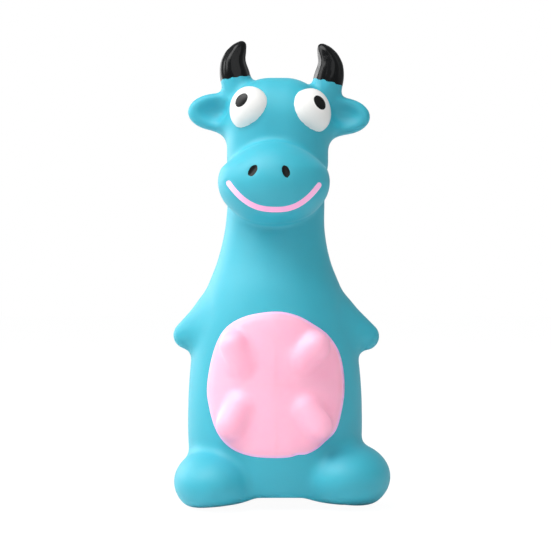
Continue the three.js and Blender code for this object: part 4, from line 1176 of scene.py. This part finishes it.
class CowToyStage(bpy.types.PropertyGroup):
    """Camera, lamps and floor."""

    distance: length_property("Camera distance", "From the lens to the middle of the toy", 0.65)
    height: length_property("Camera height", "Height of the lens above the floor", 0.0873)
    field: length_property("Field width", "Width that the picture takes in at the toy", 0.2124)
    key: power_property("Key lamp", "Power of the soft lamp high on the left", 5.6)
    side: power_property("Side lamp", "Power of the soft lamp at the left", 3.8)
    rim: power_property("Rim lamp", "Power of the soft lamp behind on the left", 3.6)
    front: power_property("Front lamp", "Power of the soft lamp beside the camera", 1.2)
    room: bpy.props.FloatProperty(
        name="Room light", description="Strength of the even light from all round", subtype="FACTOR",
        default=0.4,
    )


# ---- Operators

class COWTOY_OT_skin(bpy.types.Operator):
    """Draw the latex skin, with the opening of the udder and the seat of the squeaker"""

    bl_idname = "cowtoy.skin"
    bl_label = "Latex skin"

    def execute(self, context):
        values = context.scene.cow_skin
        draw_toy(values.cell / MM)
        points, skin = drawn["points"], drawn["regions"]["skin"]
        rim = rim_of(skin, points, lambda p: np.abs(udder_edge(p)) < ON_RIM)
        points, skin = add_wall(points, skin, rim, (0, UDDER_RIM_DEPTH, 0))
        seat = rim_of(skin, points, lambda p: np.abs(seat_edge(p)) < ON_RIM)
        points, skin = add_wall(points, skin, seat, (0, 0, SEAT_HEIGHT))
        material = latex_material(
            "Blue latex", values.blue, values.deep_blue, roughness=0.55, shine=0.65, glow=0.25,
            inner=(0, 0, 0),
        )
        make_piece("latex_skin_fine", points, skin, "toy", material, ["latex_skin"])
        return {"FINISHED"}


class COWTOY_OT_udder(bpy.types.Operator):
    """Make the soft pink udder with its four teats, in four quarters"""

    bl_idname = "cowtoy.udder"
    bl_label = "Udder"

    def execute(self, context):
        values = context.scene.cow_skin
        # The pink latex gives off a painted glow, which keeps the udder's shaded side a saturated pink
        material = latex_material(
            "Pink latex", values.pink, values.deep_pink, roughness=0.5, shine=0.9, glow=0.5,
            inner=(0.13, 0, 0.038),
        )
        # A pale lilac painted highlight runs round the udder's edge
        painted_rim_highlight(material, (0.9, 0.6, 0.98), width=1.1)
        for name, across, up in (
            ("udder_upper_left", -1, 1), ("udder_upper_right", 1, 1),
            ("udder_lower_left", -1, -1), ("udder_lower_right", 1, -1),
        ):
            points, sheet = drawn["points"], drawn["regions"][name]
            rim = rim_of(sheet, points, lambda p: np.abs(udder_edge(p)) < ON_RIM)
            cut = rim_of(
                sheet, points, lambda p: np.minimum(np.abs(p[:, 0]), np.abs(p[:, 2] - UDDER_HEIGHT)) < ON_SEAM
            )
            points, sheet = add_wall(points, sheet, rim, (0, values.wall / MM, 0))
            rise = np.array([-across / UDDER_HALVES[0], 0, -up / UDDER_HALVES[1]]) / (1 - UDDER_PRESS_FLAT)
            run = rise / (rise @ rise)
            start = np.array([0, 0, UDDER_HEIGHT]) - run / (1 - UDDER_PRESS_FLAT)
            bend = [(place * MM + np.array(SHIFT)).tolist() for place in (start, start + run)]
            piece = make_piece(
                name, points, sheet, ("toy", "belly", *bend), material, ["udder_panel"],
                seam=np.unique(cut),
            )
            # Each point's distance inward from the edge, which the painted rim highlight reads
            places = (np.array([point.co for point in piece.data.vertices]) - np.array(SHIFT)) / MM
            inward = np.clip(-udder_edge(places), 0, RIM_HIGHLIGHT_REACH).astype(np.float32)
            piece.data.attributes.new("rim", "FLOAT", "POINT").data.foreach_set("value", inward)
        return {"FINISHED"}


class COWTOY_OT_horns(bpy.types.Operator):
    """Make the glossy fluted horns"""

    bl_idname = "cowtoy.horns"
    bl_label = "Horns"

    def execute(self, context):
        values = context.scene.cow_coats
        material = coat_material(
            "Horn coat", values.horn, (0.006, 0.007, 0.008), roughness=0.19, gloss=values.gloss,
            streak=0.25, ripple=0.05, shine=0.16,
        )
        for horn in HORNS:
            name = horn["name"] + "_horn"
            make_coat(name, name, material, name + "_coat")
        return {"FINISHED"}


class COWTOY_OT_eyes(bpy.types.Operator):
    """Make the domed eyes and their pupils"""

    bl_idname = "cowtoy.eyes"
    bl_label = "Eyes"

    def execute(self, context):
        values = context.scene.cow_coats
        white = coat_material("Eye white", values.eye, darker(values.eye, 0.94), roughness=0.4, gloss=0.15)
        black = coat_material(
            "Pupil black", values.pupil, (0.012, 0.012, 0.012), roughness=0.3, gloss=0.0,
            ripple=0.1, shine=0.25,
        )
        for eye in EYES:
            name, pupil = eye["name"] + "_eye", eye["name"] + "_pupil"
            make_coat(name, name, white, name + "_white")
            make_coat(pupil + "_fine", pupil, black, pupil)
        return {"FINISHED"}


class COWTOY_OT_mouth(bpy.types.Operator):
    """Make the nostrils and the smile"""

    bl_idname = "cowtoy.mouth"
    bl_label = "Nostrils and smile"

    def execute(self, context):
        values = context.scene.cow_coats
        black = coat_material(
            "Nostril black", values.pupil, (0.012, 0.014, 0.015), roughness=0.35, gloss=0.0,
            ripple=0.1, shine=0.2,
        )
        for nostril in NOSTRILS:
            name = nostril["name"] + "_nostril"
            make_coat(name + "_fine", name, black, name)
        worn = darker(values.smile, 0.95)
        pink = coat_material("Smile pink", values.smile, worn, roughness=0.45, gloss=0.05)
        # The smile gets paler towards its ends and gives off a painted pink glow
        pale_ends(pink, (0.94, 0.6, 0.82), inner=(0.12, 0.01, 0.06))
        make_coat("smile", "smile", pink, "smile_line")
        return {"FINISHED"}


class COWTOY_OT_inside(bpy.types.Operator):
    """Finish the squeaker and pack the fibre round it"""

    bl_idname = "cowtoy.inside"
    bl_label = "Squeaker and filling"

    def execute(self, context):
        plastic = plastic_material("Squeaker plastic", (0.82, 0.83, 0.8), roughness=0.38)
        brass = brass_material("Reed brass", (0.62, 0.42, 0.12))
        finishes = {
            "squeaker_housing": plastic,
            "squeaker_cap": plastic,
            "reed_plate": plastic,
            "reed_clamp": plastic,
            "reed_tongue": brass,
        }
        for name, finish in finishes.items():
            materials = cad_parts[name].data.materials
            materials.clear()
            materials.append(finish)
        fluff = fluff_material("White fibre", (0.88, 0.87, 0.84))
        points, faces = draw(fibre_field, FIBRE_CELL, turns=2)
        make_piece("fibre_filling", points, faces, "toy", fluff, ["soft_filling"])
        return {"FINISHED"}


class COWTOY_OT_stage(bpy.types.Operator):
    """Set up the floor, the lamps and the camera"""

    bl_idname = "cowtoy.stage"
    bl_label = "Stage"

    def execute(self, context):
        values = context.scene.cow_stage
        context.scene.view_settings.view_transform = "Standard"
        add_camera(values)
        add_lamps(values)
        add_floor()
        light_room(values)
        return {"FINISHED"}


class COWTOY_PT_panel(bpy.types.Panel):
    """The toy's pieces and settings"""

    bl_idname = "COWTOY_PT_panel"
    bl_label = "Cow Toy"
    bl_space_type = "VIEW_3D"
    bl_region_type = "UI"
    bl_category = "Cow Toy"

    def draw(self, context):
        layout = self.layout
        for piece in PIECES:
            layout.operator(piece.bl_idname)
        for group in (context.scene.cow_skin, context.scene.cow_coats, context.scene.cow_stage):
            box = layout.box()
            for name in group.bl_rna.properties.keys():
                if name not in ("rna_type", "name"):
                    box.prop(group, name)


PIECES = (
    COWTOY_OT_skin, COWTOY_OT_udder, COWTOY_OT_horns, COWTOY_OT_eyes, COWTOY_OT_mouth, COWTOY_OT_inside,
    COWTOY_OT_stage,
)
CLASSES = (CowToySkin, CowToyCoats, CowToyStage, *PIECES, COWTOY_PT_panel)


def register():
    for item in CLASSES:
        bpy.utils.register_class(item)
    bpy.types.Scene.cow_skin = bpy.props.PointerProperty(type=CowToySkin)
    bpy.types.Scene.cow_coats = bpy.props.PointerProperty(type=CowToyCoats)
    bpy.types.Scene.cow_stage = bpy.props.PointerProperty(type=CowToyStage)


def unregister():
    del bpy.types.Scene.cow_stage
    del bpy.types.Scene.cow_coats
    del bpy.types.Scene.cow_skin
    for item in reversed(CLASSES):
        bpy.utils.unregister_class(item)


def main():
    register()
    bpy.ops.cowtoy.skin()
    bpy.ops.cowtoy.udder()
    bpy.ops.cowtoy.horns()
    bpy.ops.cowtoy.eyes()
    bpy.ops.cowtoy.mouth()
    bpy.ops.cowtoy.inside()
    bpy.ops.cowtoy.stage()


if __name__ == "__main__":
    main()
